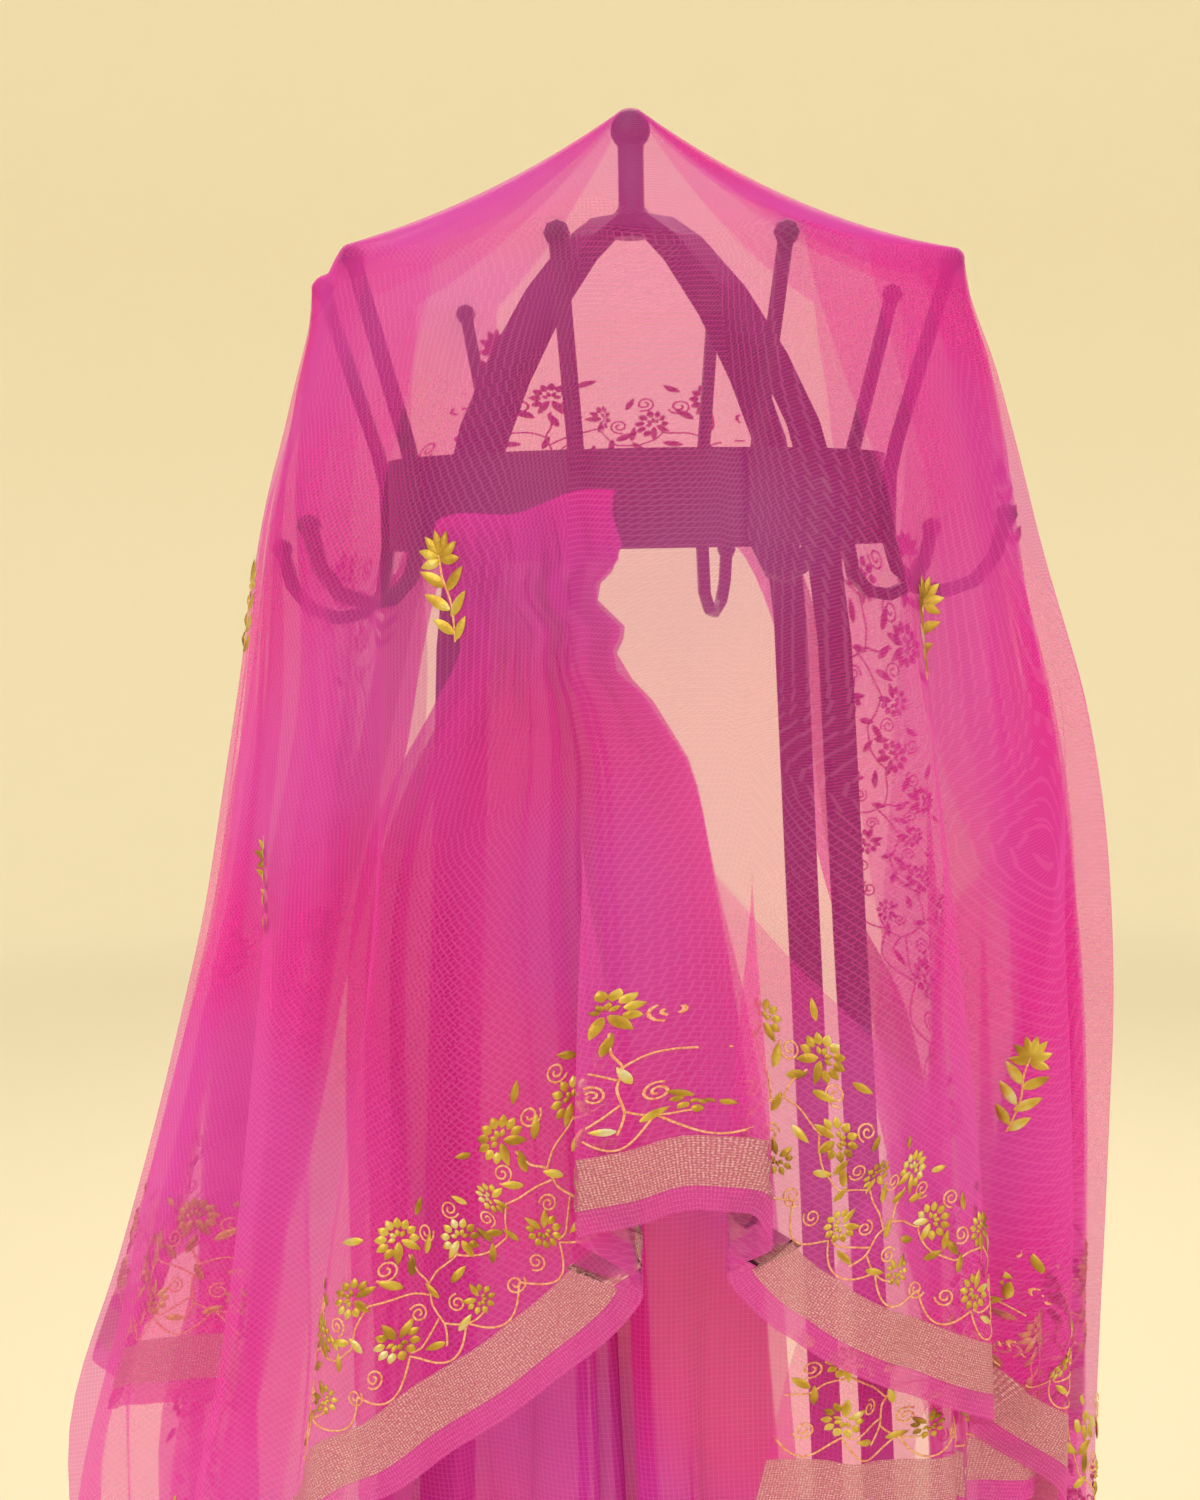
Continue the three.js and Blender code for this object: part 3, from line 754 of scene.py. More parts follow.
@dataclass
class SideLayer:
    """A further thickness of cloth over one side, from the knob down inside the wall.

    Attributes:
        front: Drop and angle along its front edge.
        back: Drop and angle along its back edge.
        under: How far under the outer cloth it lies over the tips.
        inset: How far inside the wall it hangs.
        folds: Its own folds.
        hem: Share across it and height of its lower edge.
        draw_in: How much further in it hangs low down.
        border: Whether its lower edge is the worked border.
        columns: Columns of points across it.
        rows: Rows of points down its wall.
    """

    front: tuple
    back: tuple
    under: float
    inset: float
    folds: tuple
    hem: tuple
    draw_in: float = 0.0
    border: bool = False
    columns: int = 76
    rows: int = 50

    def points(self) -> Array:
        """Hang the layer: the tent's own roof and sides, less the inset, with its own folds."""
        share = np.linspace(0, 1, self.columns)
        front, back = np.asarray(self.front, float), np.asarray(self.back, float)
        start = turned(front[0, 1] + (back[0, 1] - front[0, 1]) * share)
        top = crown(start, self.under, 8)[3:]
        low = curve(np.asarray(self.hem, float), share)[None, :]
        first = TOP_Z - top[-1, :, 2]
        down = np.linspace(0, 1, self.rows + 1)[1:, None]
        drop = first + (TOP_Z - first - low) * down
        edges = curve(front, drop), curve(back, drop)
        angle = edges[0] + (edges[1] - edges[0]) * share
        at = turned(angle)
        inward, along = fold_pull(at, drop, self.folds)
        inset = self.under + (self.inset - self.under) * smooth(drop, 8, 260)
        inset = inset + self.draw_in * smooth(drop, 330, 640)
        own = (inward - 1.3 * ripples(at + 31, drop)) * smooth(drop, 4, 60)
        wall = polar(wall_radius(at, drop) - inset - own, angle, TOP_Z - drop, along)
        reach = np.hypot(wall[..., 0], wall[..., 1])
        facing = np.degrees(np.arctan2(wall[..., 0], -wall[..., 1]))
        outer = wall_point(facing, np.broadcast_to(drop, facing.shape))
        room = np.hypot(outer[..., 0], outer[..., 1]) - self.under - 3.0 * self.under * smooth(drop, 8, 120)
        wall[..., :2] *= (np.minimum(reach, room) / reach)[..., None]
        return np.concatenate([top, wall])

    def sheet(self) -> GridSheet:
        """Build the layer's cloth."""
        points = self.points()
        if self.front[0][1] > self.back[0][1]:
            points = points[:, ::-1]
        cells = (points.shape[0] - 1, points.shape[1] - 1, 4, 2)
        return GridSheet(points, np.full(cells, BETWEEN_THREADS))


# The inner layers draw no net of their own: it would beat against the outer one's. Their weave's
# coordinates all lie at one place of the check.
BETWEEN_THREADS = 0.0
SIDE_LAYERS = (
    SideLayer(
        ((0, -34), (120, -35), (300, -36), (560, -30)),
        ((0, -150), (200, -138), (560, -128)),
        0.35,
        14,
        inner_folds(60, (-56, -54, 6, 20, 12, 8), (-84, -82, 6, 26, 12, 8), (-106, -104, 6, 24, 8, 12)),
        ((0, 1182), (0.2, 760), (0.5, 420), (0.8, 640), (1, 1010)),
        42,
    ),
    SideLayer(
        ((0, -48), (150, -52), (300, -58), (560, -62)),
        ((0, -128), (200, -134), (560, -132)),
        0.7,
        36,
        inner_folds(60, (-62, -60, 5, 18, 12, 8), (-76, -76, 6, 24, 8, 12), (-100, -98, 6, 22, 12, 8)),
        ((0, 1080), (0.3, 800), (0.5, 560), (0.8, 900), (1, 1180)),
        42,
    ),
    SideLayer(
        ((0, -62), (200, -64), (640, -58)),
        ((0, -112), (200, -118), (640, -122)),
        1.0,
        7,
        inner_folds(120, (-72, -71, 6, 12, 12, 8), (-98, -97, 6, 12, 12, 8)),
        ((0, 1160), (0.3, 1136), (0.6, 1143), (1, 1188)),
        border=True,
    ),
    SideLayer(
        ((0, 27), (90, 31), (200, 39), (300, 48), (430, 55), (700, 60)),
        ((0, 138), (200, 140), (560, 132)),
        0.35,
        14,
        inner_folds(60, (62, 63, 6, 22, 12, 8), (78, 76, 6, 24, 8, 12), (110, 110, 6, 26, 12, 8)),
        ((0, 1010), (0.25, 720), (0.5, 420), (0.8, 640), (1, 1120)),
    ),
    SideLayer(
        ((0, 44), (120, 47), (300, 57), (600, 66)),
        ((0, 118), (200, 126), (560, 136)),
        0.7,
        34,
        inner_folds(60, (72, 73, 5, 18, 12, 8), (88, 90, 6, 22, 12, 8), (118, 117, 6, 22, 8, 12)),
        ((0, 1100), (0.3, 860), (0.5, 640), (0.8, 900), (1, 1240)),
    ),
    SideLayer(
        ((0, 60), (300, 52), (430, 34), (560, 17), (700, 10)),
        ((0, 96), (300, 92), (700, 84)),
        1.0,
        20,
        inner_folds(120, (46, 44, 5, 12, 12, 8), (64, 62, 6, 14, 8, 12)),
        ((0, 1132), (0.25, 1120), (0.6, 1104), (1, 1120)),
        border=True,
    ),
)


def wall_slopes(angle: Array, drop: Array) -> tuple[Array, Array]:
    """How the wall's point moves for one degree and for one millimetre of drop."""
    along = (wall_point(angle + 0.1, drop) - wall_point(angle - 0.1, drop)) / 0.2
    down = (wall_point(angle, drop + 1.0) - wall_point(angle, drop - 1.0)) / 2.0
    return along, down


def wall_normal(angle: Array, drop: Array) -> Array:
    """The wall's outward direction."""
    along, down = wall_slopes(angle, drop)
    return unit(np.cross(down, along))


# How far up from a hem the charts go, their step up the cloth, and their step along the hem.
CHART_REACH = 132.0
CHART_STEP = 4.0
CHART_SPACING = 3.5


@dataclass
class ClothTable:
    """Places on the hung cloth of points of the flat one, u along the hem and v square to it.

    Attributes:
        points: V rows by u columns by 3.
        normals: The outward directions there.
        usable: Where the table holds, for each row and column.
        start: The first column's u.
        spacing: The step of u.
        closed: Whether u runs round to its start.
    """

    points: Array
    normals: Array
    usable: Array
    start: float
    spacing: float
    closed: bool

    @property
    def end(self) -> float:
        """The last column's u."""
        return self.start + self.points.shape[1] * self.spacing

    def place(self, u: Array, v: Array, lift: Array) -> tuple[Array, Array]:
        """Take flat points onto the cloth, by linear mixing in the table.

        Args:
            u: Distance along the hem.
            v: Distance in from the hem.
            lift: Height off the cloth, outwards.

        Returns:
            Points in millimetres about the axis, and whether the table holds there.
        """
        count = self.points.shape[1]
        x = (np.asarray(u, float) - self.start) / self.spacing
        y = np.clip(np.asarray(v, float) / CHART_STEP, 0, len(self.points) - 1.001)
        inside = np.ones(x.shape, bool) if self.closed else (x >= 0) & (x < count - 1.001)
        x = x if self.closed else np.clip(x, 0, count - 1.001)
        i, j = np.floor(x).astype(int), np.floor(y).astype(int)
        fx, fy = (x - i)[..., None], (y - j)[..., None]
        a, b = i % count, (i + 1) % count

        def mix(table: Array) -> Array:
            """Mix the four table entries round each point."""
            low = table[j, a] * (1 - fx) + table[j, b] * fx
            high = table[j + 1, a] * (1 - fx) + table[j + 1, b] * fx
            return low * (1 - fy) + high * fy

        holds = inside & self.usable[j, a] & self.usable[j, b]
        holds = holds & self.usable[j + 1, a] & self.usable[j + 1, b]
        return mix(self.points) + unit(mix(self.normals)) * np.asarray(lift)[..., None], holds


def sheet_table(points: Array) -> ClothTable:
    """Chart the lower border of a hanging sheet: u along its lower edge and v up its columns.

    Args:
        points: The sheet's grid, from its top row down and from left to right as seen from outside.

    Returns:
        The chart.
    """
    rising = points[::-1]
    up = lengths(rising, 0)
    v = np.arange(0, CHART_REACH + 1, CHART_STEP)
    columns = [
        np.stack([np.interp(v, up[:, c], rising[:, c, k]) for k in range(3)], axis=-1)
        for c in range(up.shape[1])
    ]
    lines_up = np.stack(columns, axis=1)
    run = lengths(rising[0], 0)
    u = np.arange(0, run[-1], CHART_SPACING)
    where = np.interp(u, run, np.arange(len(run)))
    low = np.clip(np.floor(where).astype(int), 0, len(run) - 2)
    part = (where - low)[None, :, None]
    table = lines_up[:, low] * (1 - part) + lines_up[:, low + 1] * part
    normal = unit(np.cross(np.gradient(table, axis=1), np.gradient(table, axis=0)))
    usable = np.ones(table.shape[:2], bool)
    return ClothTable(table, normal, usable, 0.0, CHART_SPACING, False)


@dataclass
class FrontPanel:
    """One flat panel of the tent's front, between two folds, as a chart of its own.

    Attributes:
        low: The angle of its left edge.
        high: The angle of its right edge.
        start: The u of its left edge.
        spare: How far its hem line is carried on past each edge, so that the border fills it.
    """

    low: float
    high: float
    start: float
    spare: float = 110.0

    def table(self) -> ClothTable:
        """Work the chart out.

        At each height the cloth's level running length from the panel's middle gives s. The hem is a
        line in s and z, carried on straight past both edges. A flat point is set off square to that
        line, and its s and z are looked up on the cloth.
        """
        fine = np.linspace(self.low, self.high, 500)
        hem = hem_z(fine)
        drops = np.linspace(TOP_Z - hem.max() - 150, TOP_Z - hem.min() + 60, 90)
        level = lengths(wall_point(fine[None, :], drops[:, None]), 1)
        level = level - level[:, 250:251]
        hem_drop = TOP_Z - hem
        pitch = drops[1] - drops[0]
        row = (hem_drop - drops[0]) / pitch
        k = np.clip(np.floor(row).astype(int), 0, len(drops) - 2)
        column = np.arange(500)
        s = level[k, column] * (1 - row + k) + level[k + 1, column] * (row - k)
        run = np.concatenate([[0.0], np.cumsum(np.hypot(np.diff(s), np.diff(hem)))])
        u = np.arange(-self.spare, run[-1] + self.spare, CHART_SPACING)
        s0, z0 = np.interp(u, run, s), np.interp(u, run, hem)
        slope = np.arctan2(np.gradient(hem), np.gradient(s))
        tilt = np.interp(u, run, slope)
        tilt = np.convolve(np.pad(tilt, 10, mode="edge"), bell(21), mode="valid")
        before, after = np.minimum(u, 0.0), np.maximum(u - run[-1], 0.0)
        s0 = s0 + (before + after) * np.cos(tilt)
        z0 = z0 + (before + after) * np.sin(tilt)
        v = np.arange(0, CHART_REACH + 1, CHART_STEP)[:, None]
        s1 = s0 - v * np.sin(tilt)
        drop = TOP_Z - (z0 + v * np.cos(tilt))
        row = np.clip((drop - drops[0]) / pitch, 0, len(drops) - 1.001)
        k = np.floor(row).astype(int)
        angle = np.full(s1.shape, np.nan)
        for line in np.unique(k):
            mine = k == line
            first = np.interp(s1[mine], level[line], fine, left=np.nan, right=np.nan)
            second = np.interp(s1[mine], level[line + 1], fine, left=np.nan, right=np.nan)
            part = row[mine] - line
            angle[mine] = first * (1 - part) + second * part
        usable = np.isfinite(angle) & (TOP_Z - drop > hem_z(np.nan_to_num(angle)) + 1.0)
        angle = np.where(usable, angle, (self.low + self.high) / 2)
        points, normals = wall_point(angle, drop), wall_normal(angle, drop)
        return ClothTable(points, normals, usable, self.start - self.spare, CHART_SPACING, False)


@dataclass
class HemFrame:
    """The cloth near the tent's edge as it would lie flat: u along the hem and v square to it.

    From each point of the hem a straightest line is stepped up the cloth, square to the hem, and the
    table of places that it passes takes any point of the border onto the folded cloth.

    Attributes:
        spacing: The lines' distance along the hem.
        most_turn: The most degrees that one step goes round.
        most_fall: The most that one step goes up or down, as a share of the step.
        points: The places passed, rows up the cloth by columns along the hem by 3.
        normals: The cloth's outward directions there.
        hem_angle: The angle of each column's foot.
    """

    spacing: float = CHART_SPACING
    most_turn: float = 1.3
    most_fall: float = 1.15
    points: Array = field(init=False)
    normals: Array = field(init=False)
    hem_angle: Array = field(init=False)

    def __post_init__(self) -> None:
        """Trace the table."""
        dense = np.linspace(-180, 180, 14401)
        run = lengths(wall_point(dense, TOP_Z - hem_z(dense)), 0)
        count = int(run[-1] / self.spacing)
        self.spacing = run[-1] / count
        angle = np.interp(np.arange(count) * self.spacing, run, dense)
        self.hem_angle = angle.copy()
        drop = TOP_Z - hem_z(angle)
        here = wall_point(angle, drop)
        ahead = np.roll(here, -1, axis=0) - np.roll(here, 1, axis=0)
        e1, e2 = self.frame_at(angle, drop)
        slope = np.arctan2((ahead * e2).sum(-1), (ahead * e1).sum(-1))
        slope = np.convolve(np.pad(slope, 9, mode="wrap"), bell(19), mode="valid")
        way = -np.sin(slope)[:, None] * e1 + np.cos(slope)[:, None] * e2
        points, normals = [], []
        most_fall = self.most_fall * CHART_STEP
        for _ in range(int(CHART_REACH / CHART_STEP) + 1):
            here = wall_point(angle, drop)
            along, down = wall_slopes(angle, drop)
            points.append(here)
            normals.append(wall_normal(angle, drop))
            aa, dd, ad = (along**2).sum(-1), (down**2).sum(-1), (along * down).sum(-1)
            wa, wd = (way * along).sum(-1), (way * down).sum(-1)
            det = np.maximum(aa * dd - ad * ad, 1e-6)
            turn = np.clip(CHART_STEP * (wa * dd - wd * ad) / det, -self.most_turn, self.most_turn)
            fall = np.clip(CHART_STEP * (wd * aa - wa * ad) / det, -most_fall, most_fall)
            angle = angle + turn
            drop = np.maximum(drop + fall, 6.0)
            way = unit(wall_point(angle, drop) - here)
        self.points = np.stack(points)
        self.normals = np.stack(normals)

    @property
    def length(self) -> float:
        """Length of the whole hem."""
        return self.points.shape[1] * self.spacing

    def pitch(self, repeat: float) -> float:
        """The repeat's length when a whole number of them goes round the hem."""
        return self.length / round(self.length / repeat)

    def frame_at(self, angle: Array, drop: Array) -> tuple[Array, Array]:
        """Unit vectors of the cloth: level and up it."""
        along, _ = wall_slopes(angle, drop)
        e1 = unit(along)
        return e1, np.cross(wall_normal(angle, drop), e1)

    def whole(self) -> ClothTable:
        """The traced table all round, for the narrow strips at the hem."""
        usable = np.ones(self.points.shape[:2], bool)
        return ClothTable(self.points, self.normals, usable, 0.0, self.spacing, True)

    def along(self, angle: float) -> float:
        """The u of the hem at an angle."""
        return float(np.interp(angle, self.hem_angle, np.arange(len(self.hem_angle)) * self.spacing))

    def charts(self, repeat: float) -> list[ClothTable]:
        """Give the traced table without the front, and a chart for each of the front's three panels.

        Args:
            repeat: The pattern's repeat, so that its tallest flower stands in the middle panel.

        Returns:
            The charts.
        """
        pitch = self.pitch(repeat)
        middle = math.floor(self.along(-5.2) / pitch) * pitch + 0.25 * pitch
        sides = self.whole()
        sides.usable = sides.usable & (np.abs(self.hem_angle) > 45)[None, :]
        panels = (
            FrontPanel(-45.5, -10.0, self.along(-45.5)),
            FrontPanel(-5.2, 10.8, middle),
            FrontPanel(14.8, 45.5, self.along(14.8)),
        )
        return [sides, *(panel.table() for panel in panels)]


def strip(name: str, tables: list, across: tuple, rows: int, lift: float, centre: Array) -> Piece:
    """Build a woven strip that lies on the cloth along its hems.

    Args:
        name: The object's name.
        tables: The charts of the hems.
        across: Distances of its lower and upper edges from the hem.
        rows: Rows of points across it.
        lift: How far off the cloth it lies.
        centre: The stand's axis, in metres.

    Returns:
        The strip.
    """
    sheets = []
    for table in tables:
        count = table.points.shape[1]
        u = table.start + np.arange(count + 1 if table.closed else count - 1) * table.spacing
        u, v = np.meshgrid(u, np.linspace(across[1], across[0], rows))
        points, _ = table.place(u, v, np.full(u.shape, lift))
        sheets.append(GridSheet(points, face_corners(np.stack([u, v], axis=-1)) * MM))
    return joined_sheets(name, sheets, centre)


@dataclass
class GotaWork:
    """Gota ribbon flowers and leaves on thread stems, laid flat along the hem and then put on the cloth.

    One repeat has five flowers of folded ribbon petals, facing different ways, joined by waving stems
    with single leaves and small spirals. Sizes are in millimetres, x along the hem and y in from it.

    Attributes:
        frame: The cloth near the tent's hem.
        more: Charts of further hems.
        repeat: The repeat's length before it is fitted to the hem.
        base: The pattern's height above the hem.
        squash: How much of its drawn height it keeps.
        lift: How far off the cloth it lies.
        stretch: How far a face may be stretched on the cloth before it is left out.
        slack: Added to a side's flat length when that is worked out, in millimetres.
    """

    frame: HemFrame
    more: list
    repeat: float = 108.0
    base: float = 35.0
    squash: float = 0.8
    lift: float = 0.5
    stretch: float = 1.6
    slack: float = 0.4
    tables: list = field(init=False)

    # Flowers: x, y, turn from upright, radius, petals.
    flowers: tuple = (
        (62, 78, 0, 12.5, 9), (28, 63, 50, 10.5, 8), (35, 27, 152, 11.0, 8), (98, 57, -34, 11.5, 8),
        (86, 22, -150, 8.5, 7),
    )
    # Leaves: x, y, turn, length, width.
    leaves: tuple = (
        (50, 52, 35, 14, 5), (57, 55, -30, 13, 5), (72, 62, -55, 13, 5), (78, 40, -80, 13, 5),
        (66, 36, 20, 12, 4.5), (14, 44, 60, 13, 5), (18, 34, 10, 12, 4.5), (46, 88, 60, 12, 4.5),
        (80, 84, -60, 12, 4.5), (104, 34, -40, 12, 4.5), (112, 44, 10, 12, 4.5),
        (8, 70, 30, 11, 4.5), (56, 12, 80, 12, 4.5), (66, 14, -70, 12, 4.5),
    )
    # Stems: points x, y from one end to the other.
    stems: tuple = (
        ((62, 67), (61, 56), (64, 46), (60, 34), (61, 22), (56, 10)),
        ((61, 40), (52, 46), (42, 50), (33, 54)),
        ((64, 46), (76, 50), (86, 50), (92, 51)),
        ((60, 26), (50, 20), (42, 16), (37, 17)),
        ((61, 22), (70, 16), (78, 14), (85, 15)),
        ((33, 54), (22, 48), (12, 40), (0, 40), (-10, 44), (-17, 50)),
    )
    # Spirals: x, y, radius, start angle, side.
    spirals: tuple = (
        (48, 66, 6.5, 200, 1), (80, 72, 6.5, -20, -1), (12, 56, 6, 250, 1), (104, 74, 6, 300, -1),
        (50, 34, 5.5, 120, -1), (74, 28, 5.5, 60, 1), (16, 18, 6, 200, 1), (106, 16, 6, 0, -1),
    )

    # A sprig's petals and leaves: x, y, turn, length, width. Its places: angle, height, turn.
    sprig: tuple = (
        (0, 14, 96, 11, 5.0), (0, 15, 62, 12, 5.0), (0, 16, 30, 12, 5.0), (0, 16, 0, 12, 5.0),
        (0, 16, -30, 12, 5.0), (0, 15, -62, 12, 5.0), (0, 14, -96, 11, 5.0), (0, 2, 52, 15, 5.6),
        (0, 0, -54, 15, 5.6), (0, -9, 50, 15, 5.6), (0, -12, -50, 15, 5.6), (0, -20, 48, 13, 5.2),
        (0, -23, -44, 13, 5.2),
    )
    places: tuple = (
        (-23, 1584, 12), (40, 1559, -20), (53, 1328, -14), (-58, 1430, 10), (-84, 1570, 5),
        (-104, 1340, 8), (-132, 1560, 4), (-150, 1712, 0), (128, 1580, -5), (108, 1430, -8),
        (86, 1620, 0), (84, 1250, -10),
    )

    def __post_init__(self) -> None:
        """Take the charts that the work is laid on."""
        self.tables = [*self.frame.charts(self.repeat), *self.more]

    def leaf_grid(self, table: Array, height: float) -> tuple[Array, Array]:
        """Lay pointed leaves of folded ribbon.

        Each is a grid of 6 by 3: its half width follows the sine of its length, pinched at the tip, and
        its middle line stands up as a ridge.

        Args:
            table: One row for each leaf: x, y, turn in degrees, length and width.
            height: The ridge's height.

        Returns:
            Points (x, y, lift), 18 a leaf, and faces, 10 a leaf.
        """
        t = np.linspace(0, 1, 6)
        half = 0.5 * np.sin(np.pi * np.clip(t, 0.02, 1.0) ** 0.8) ** 0.75
        half[0], half[-1] = 0.12, 0.02
        side = np.array([-1.0, 0.0, 1.0])
        x = half[:, None] * side[None, :]
        y = np.broadcast_to(t[:, None], x.shape)
        z = height * (1 - 0.85 * np.abs(side))[None, :] * (0.35 + 0.65 * np.sin(np.pi * t))[:, None]
        x, y, z = x.ravel(), y.ravel(), z.ravel()
        turn = np.radians(table[:, 2])[:, None]
        wide, long = x[None] * table[:, 4:5], y[None] * table[:, 3:4]
        px = table[:, 0:1] + wide * np.cos(turn) - long * np.sin(turn)
        py = table[:, 1:2] + wide * np.sin(turn) + long * np.cos(turn)
        points = np.stack([px, py, np.broadcast_to(z, px.shape)], axis=-1)
        faces = cell_faces(np.arange(18).reshape(6, 3))
        return points.reshape(-1, 3), repeated(faces, 18, len(points))

    def petals(self) -> Array:
        """List every petal and leaf of one repeat as leaf rows."""
        rows = []
        for x, y, turn, radius, count in self.flowers:
            fan = np.linspace(-118, 118, count) + turn
            inner = np.linspace(-70, 70, 4) + turn
            sets = (
                *((angle, 0.52 * radius, 0.54, 0.40) for angle in fan),
                *((angle, 0.14 * radius, 0.36, 0.24) for angle in inner),
                *((angle, 2, 1.05, 0.42) for angle in (turn + 148, turn - 148)),
            )
            for angle, start, size, wide in sets:
                s, c = math.sin(math.radians(angle)), math.cos(math.radians(angle))
                rows.append((x - start * s, y + start * c, angle, size * radius, wide * radius))
        rows.extend(self.leaves)
        return np.asarray(rows, float)

    def tube_grid(self, path: Array, radius: float) -> tuple[Array, Array]:
        """Carry a small five-sided ring along a flat path, half sunk into the cloth.

        Args:
            path: Points by 2.
            radius: The thread's radius.

        Returns:
            Points by 3 and faces.
        """
        way = unit(np.gradient(path, axis=0))
        out = np.stack([way[:, 1], -way[:, 0]], axis=1)
        turn = np.radians([0, 60, 120, 180])
        xy = path[:, None] + out[:, None] * (radius * np.cos(turn))[None, :, None]
        z = np.broadcast_to(radius * np.sin(turn) * 0.9, xy.shape[:2])
        points = np.concatenate([xy, z[..., None]], axis=-1)
        return points.reshape(-1, 3), cell_faces(np.arange(len(path) * 4).reshape(len(path), 4))

    def threads(self) -> list[Array]:
        """List the paths of one repeat's stems and spirals."""
        paths = []
        for stem in self.stems:
            knots = np.asarray(stem, float)
            at = np.arange(len(knots))
            fine = np.linspace(0, len(knots) - 1, 6 * len(knots))
            paths.append(curve(np.column_stack([at, knots]), fine))
        for x, y, radius, start, side in self.spirals:
            t = np.linspace(0, 1, 22)
            a = math.radians(start) + side * t * 2 * np.pi * 1.6
            r = radius * (1 - 0.82 * t)
            paths.append(np.column_stack([x + r * np.cos(a), y + r * np.sin(a)]))
        return paths

    def spread(self, points: Array, faces: Array, group: int) -> tuple[Array, Array]:
        """Repeat flat points along the whole hem and put them on the cloth.

        Args:
            points: One repeat's points: x, y and lift.
            faces: One repeat's faces.
            group: How many faces in a row make one petal or stretch of thread, which is left out where
                the cloth turns too sharply for it.

        Returns:
            Points about the axis and faces.
        """
        pitch = self.frame.pitch(self.repeat)
        verts, quads, begin = [], [], 0
        for chart in self.tables:
            first, last = math.floor(chart.start / pitch), math.ceil(chart.end / pitch)
            turns = np.arange(first, last)
            start = turns[:, None] * pitch
            u = points[None, :, 0] * (pitch / self.repeat) + start
            if chart.closed:
                u = u % self.frame.length
            v = np.broadcast_to(points[None, :, 1] * self.squash + self.base, u.shape)
            lift = np.broadcast_to(points[None, :, 2] + self.lift, u.shape)
            placed, holds = chart.place(u, v, lift)
            placed, holds = placed.reshape(-1, 3), holds.ravel()
            every = repeated(faces, len(points), len(turns))
            flat = np.stack(np.broadcast_arrays(points[None, :, 0] + start, v), axis=-1).reshape(-1, 2)
            real, cut = self.sides(placed, every), self.sides(flat, every)
            stretch = (real / (cut + self.slack)).max(axis=0).reshape(-1, group)
            good = np.repeat(stretch.max(axis=1) < self.stretch, group) & holds[every].all(axis=1)
            if not good.any():
                continue
            used, number = np.unique(every[good], return_inverse=True)
            verts.append(placed[used])
            quads.append(number.reshape(-1, faces.shape[1]) + begin)
            begin += len(used)
        return np.vstack(verts), np.vstack(quads)

    @staticmethod
    def sides(points: Array, faces: Array) -> Array:
        """Lengths of two sides and a diagonal of each face."""
        pairs = ((0, 1), (1, 2), (0, 2))
        ends = ((points[faces[:, a]], points[faces[:, b]]) for a, b in pairs)
        return np.stack([np.linalg.norm(one - other, axis=1) for one, other in ends])

    def sprigs(self, points: Array, faces: Array) -> tuple[Array, Array]:
        """Put one small figure at every place of the sprig table.

        Args:
            points: The figure's points: x, y and lift, upright.
            faces: Its faces.

        Returns:
            Points about the axis and faces.
        """
        verts = []
        for angle, height, turn in self.places:
            t = math.radians(turn)
            x = points[:, 0] * math.cos(t) - points[:, 1] * math.sin(t)
            y = points[:, 0] * math.sin(t) + points[:, 1] * math.cos(t)
            drop = TOP_Z - height
            fan = np.linspace(angle - 14, angle + 14, 141)
            level = lengths(wall_point(turned(fan), np.full(141, drop)), 0)
            at = np.interp(x, level - level[70], fan)
            down = drop - y
            lift = (points[:, 2] + self.lift)[:, None]
            verts.append(wall_point(turned(at), down) + wall_normal(turned(at), down) * lift)
        return np.vstack(verts), repeated(faces, len(points), len(self.places))

    def ribbon_work(self, centre: Array) -> Piece:
        """Build all the ribbon petals and leaves."""
        verts, quads = self.spread(*self.leaf_grid(self.petals(), 1.3), 10)
        more, leaves = self.sprigs(*self.leaf_grid(np.asarray(self.sprig, float), 1.2))
        quads = np.vstack([quads, leaves + len(verts)])
        return add_mesh("gota_flowers", np.vstack([verts, more]), quads, None, centre)

    def thread_work(self, centre: Array) -> Piece:
        """Build the stems, spirals and the scalloped line above the band."""
        verts, quads, start = [], [], 0
        x = np.linspace(0, self.repeat, 64)
        arc = np.abs(np.sin(np.pi * x / (self.repeat / 3)))
        scallop = np.column_stack([x, 14.0 * (1 - arc) + 1.5])
        for path in [*self.threads(), scallop]:
            points, faces = self.tube_grid(path, 0.62)
            verts.append(points)
            quads.append(faces + start)
            start += len(points)
        placed, faces = self.spread(np.vstack(verts), np.vstack(quads), 3)
        stem = curve(np.array([[0, 0, -24], [1, 1.5, -8], [2, -1, 8], [3, 0, 20.0]]), np.linspace(0, 3, 24))
        more, leaves = self.sprigs(*self.tube_grid(stem, 0.6))
        faces = np.vstack([faces, leaves + len(placed)])
        return add_mesh("gota_stems", np.vstack([placed, more]), faces, None, centre)


def linear(code: str) -> tuple[float, float, float, float]:
    """Turn an sRGB hex colour into linear values with full alpha."""
    parts = [int(code[i : i + 2], 16) / 255 for i in (1, 3, 5)]
    r, g, b = (p / 12.92 if p <= 0.04045 else ((p + 0.055) / 1.055) ** 2.4 for p in parts)
    return (r, g, b, 1.0)


def node(tree: Tree, kind: str, sockets: dict | None = None, **settings: object) -> bpy.types.Node:
    """Add one node, with its settings, socket values and links.

    Args:
        tree: The material's node tree.
        kind: Blender's name of the node.
        sockets: Input names or numbers, each with a value or with an output to link from.
        **settings: The node's own settings.

    Returns:
        The new node.
    """
    new = tree.nodes.new(kind)
    for key, value in settings.items():
        setattr(new, key, value)
    for key, value in (sockets or {}).items():
        if isinstance(value, Socket):
            tree.links.new(value, new.inputs[key])
        else:
            new.inputs[key].default_value = value
    return new


def math_out(tree: Tree, operation: str, *values: object) -> Socket:
    """Give the result of one sum on values or outputs."""
    return node(tree, "ShaderNodeMath", dict(enumerate(values)), operation=operation).outputs[0]


